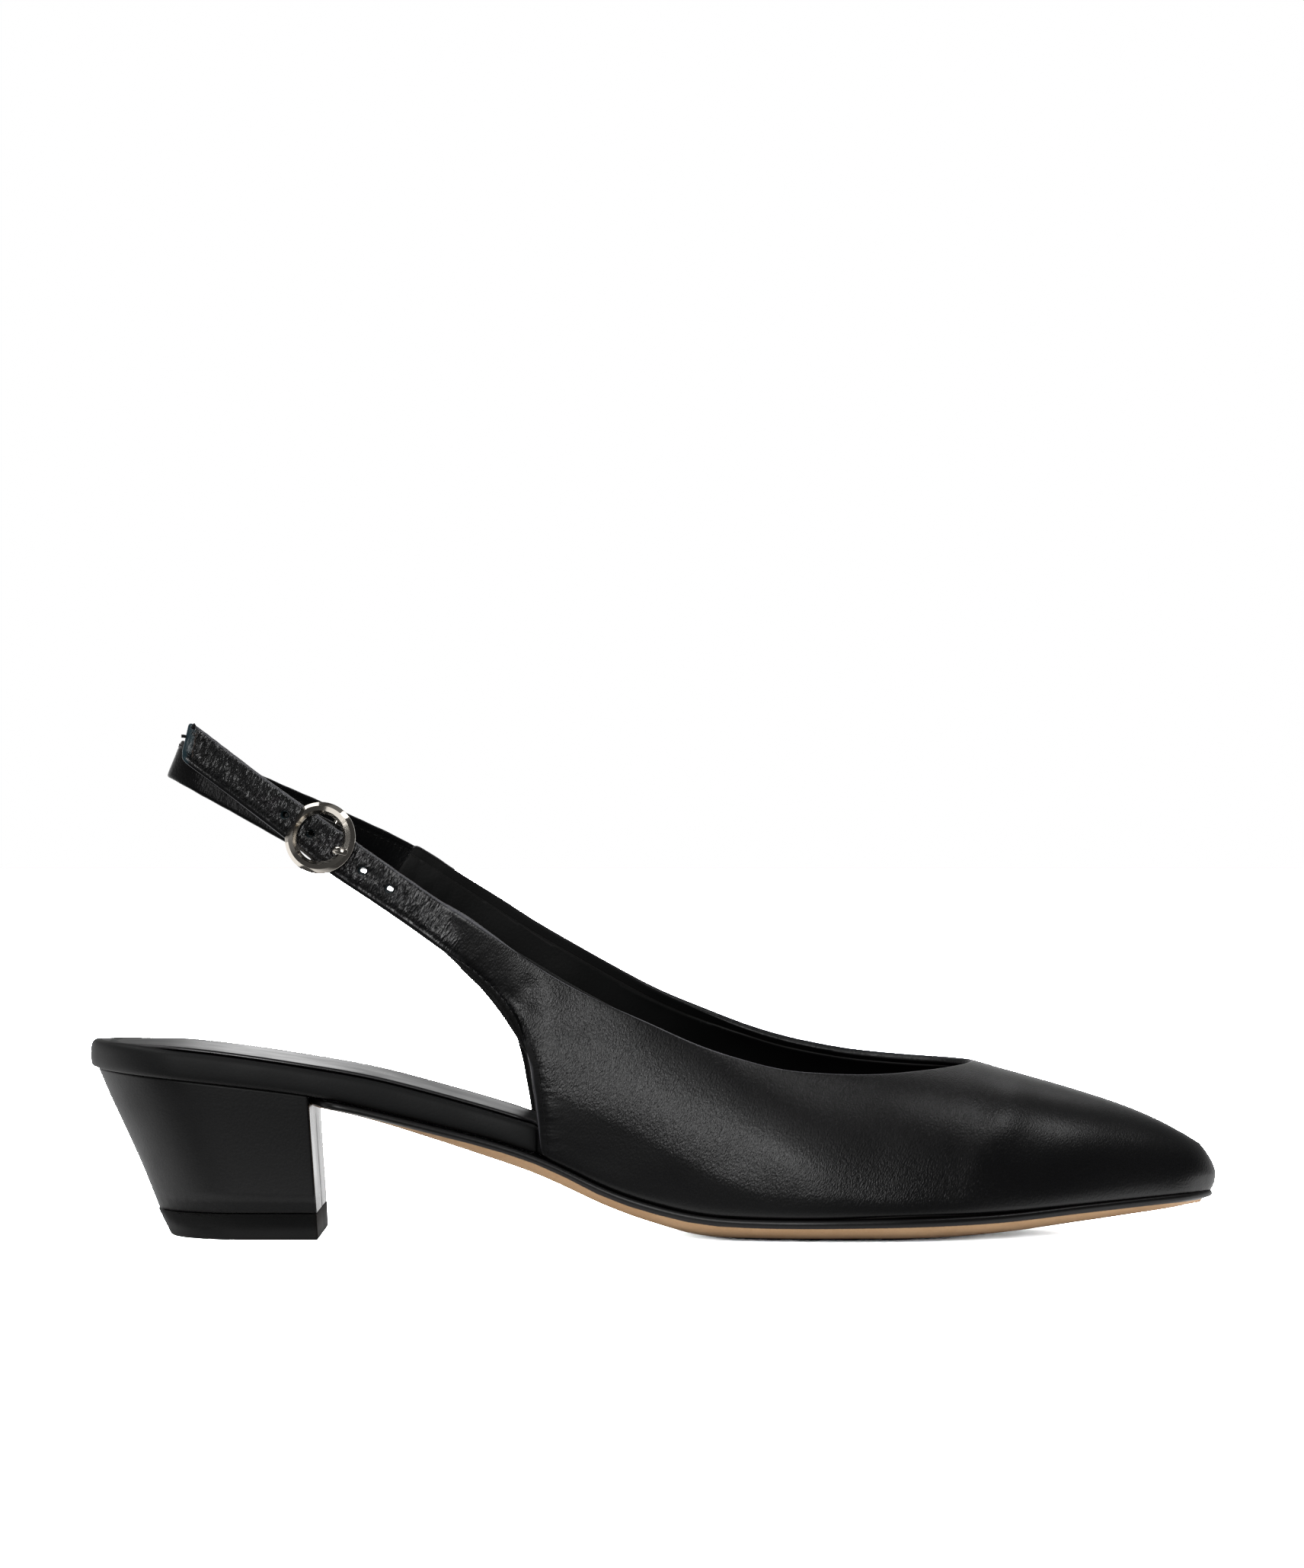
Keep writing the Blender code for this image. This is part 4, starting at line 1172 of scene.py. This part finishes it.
near = add_node(paper, "ShaderNodeMapRange", {}, {
    "Value": parts.outputs["Y"],
    "From Min": DIM_PAPER[0],
    "From Max": DIM_PAPER[1],
})
seen_by = add_node(paper, "ShaderNodeLightPath", {}, {})
tone = add_node(paper, "ShaderNodeMix", {"data_type": "RGBA"}, {
    "Factor": near.outputs["Result"],
    "A": linear("#060606"),
    "B": linear("#353535"),
})
seen = add_node(paper, "ShaderNodeMix", {"data_type": "RGBA"}, {
    "Factor": seen_by.outputs["Is Camera Ray"],
    "A": tone.outputs["Result"],
    "B": linear("#F4F4F4"),
})
paper.node_tree.links.new(seen.outputs["Result"], shader.inputs["Base Color"])
floor.data.materials.append(paper)

world = bpy.data.worlds.new("white_room")
bpy.context.scene.world = world
world.use_nodes = True
world.node_tree.nodes.clear()
way = add_node(world, "ShaderNodeTexCoord", {}, {})
parts = add_node(world, "ShaderNodeSeparateXYZ", {}, {0: way.outputs["Generated"]})
behind = add_node(world, "ShaderNodeMapRange", {"interpolation_type": "SMOOTHSTEP"}, {
    "Value": parts.outputs["Y"],
    "From Min": 0.0,
    "From Max": 0.6,
    "To Min": 0.0,
    "To Max": WALL_BEHIND,
})
aside = add_node(world, "ShaderNodeMapRange", {"interpolation_type": "SMOOTHSTEP"}, {
    "Value": parts.outputs["X"],
    "From Min": -0.6,
    "From Max": -0.9,
    "To Min": 0.0,
    "To Max": WALL_ASIDE,
})
walls = add_node(world, "ShaderNodeMath", {"operation": "MAXIMUM"}, {
    0: behind.outputs["Result"],
    1: aside.outputs["Result"],
})
low = add_node(world, "ShaderNodeMapRange", {"interpolation_type": "SMOOTHSTEP"}, {
    "Value": parts.outputs["Z"],
    "From Min": 0.12,
    "From Max": 0.45,
    "To Min": 1.0,
    "To Max": 0.1,
})
room = add_node(world, "ShaderNodeMath", {"operation": "MULTIPLY_ADD"}, {
    0: walls.outputs["Value"],
    1: low.outputs["Result"],
    2: ROOM_DIM,
})
seen_by = add_node(world, "ShaderNodeLightPath", {}, {})
strength = add_node(world, "ShaderNodeMix", {"data_type": "FLOAT"}, {
    "Factor": seen_by.outputs["Is Camera Ray"],
    "A": room.outputs["Value"],
    "B": 1.0,
})
sky = add_node(world, "ShaderNodeBackground", {}, {
    "Color": (1.0, 1.0, 1.0, 1.0),
    "Strength": strength.outputs["Result"],
})
add_node(world, "ShaderNodeOutputWorld", {}, {"Surface": sky.outputs[0]})


def add_window(name, turn, rise, width, height, glow):
    """A soft light at a turn to the right of the camera and a rise over the floor, in degrees."""
    distance = 1.3
    light = bpy.data.lights.new(name, "AREA")
    light.shape = "RECTANGLE"
    light.size = width
    light.size_y = height
    light.energy = glow * math.pi * width * height
    lamp = bpy.data.objects.new(name, light)
    a, e = math.radians(turn), math.radians(rise)
    back = Vector((math.sin(a) * math.cos(e), -math.cos(a) * math.cos(e), math.sin(e)))
    lamp.location = back * distance
    lamp.rotation_euler = back.to_track_quat("Z", "Y").to_euler()
    bpy.context.scene.collection.objects.link(lamp)


add_window("window_front", -15, 16, 0.34, 0.44, 9.0)
add_window("window_high", -10, 42, 0.5, 0.7, 1.2)
add_window("window_top", 0, 78, 1.0, 0.7, 0.15)
add_window("window_right", 76, 60, 0.3, 0.3, 5.5)
add_window("window_back", 161, 43, 0.3, 0.25, 1.5)
add_window("window_left", -95, 58, 0.8, 0.7, 2.2)
overhead = bpy.data.lights.new("overhead", "SUN")
overhead.energy = 120.0
overhead.angle = math.radians(170)
lamp = bpy.data.objects.new("overhead", overhead)
bpy.context.scene.collection.objects.link(lamp)
lit_by_it = bpy.data.collections.new("lit_by_overhead")
lit_by_it.objects.link(floor)
lamp.light_linking.receiver_collection = lit_by_it

# Camera: level and square to the outer side, at the height of the strap, far enough away for a flat view as
# with a long lens.
lens = bpy.data.cameras.new("camera")
lens.sensor_width = 36.0
lens.lens = 138.86
camera = bpy.data.objects.new("camera", lens)
camera.location = (0.0, -1.4, 0.104)
camera.rotation_euler = (math.radians(90), 0.0, 0.0)
bpy.context.scene.collection.objects.link(camera)
bpy.context.scene.camera = camera
bpy.context.scene.view_settings.view_transform = "Standard"
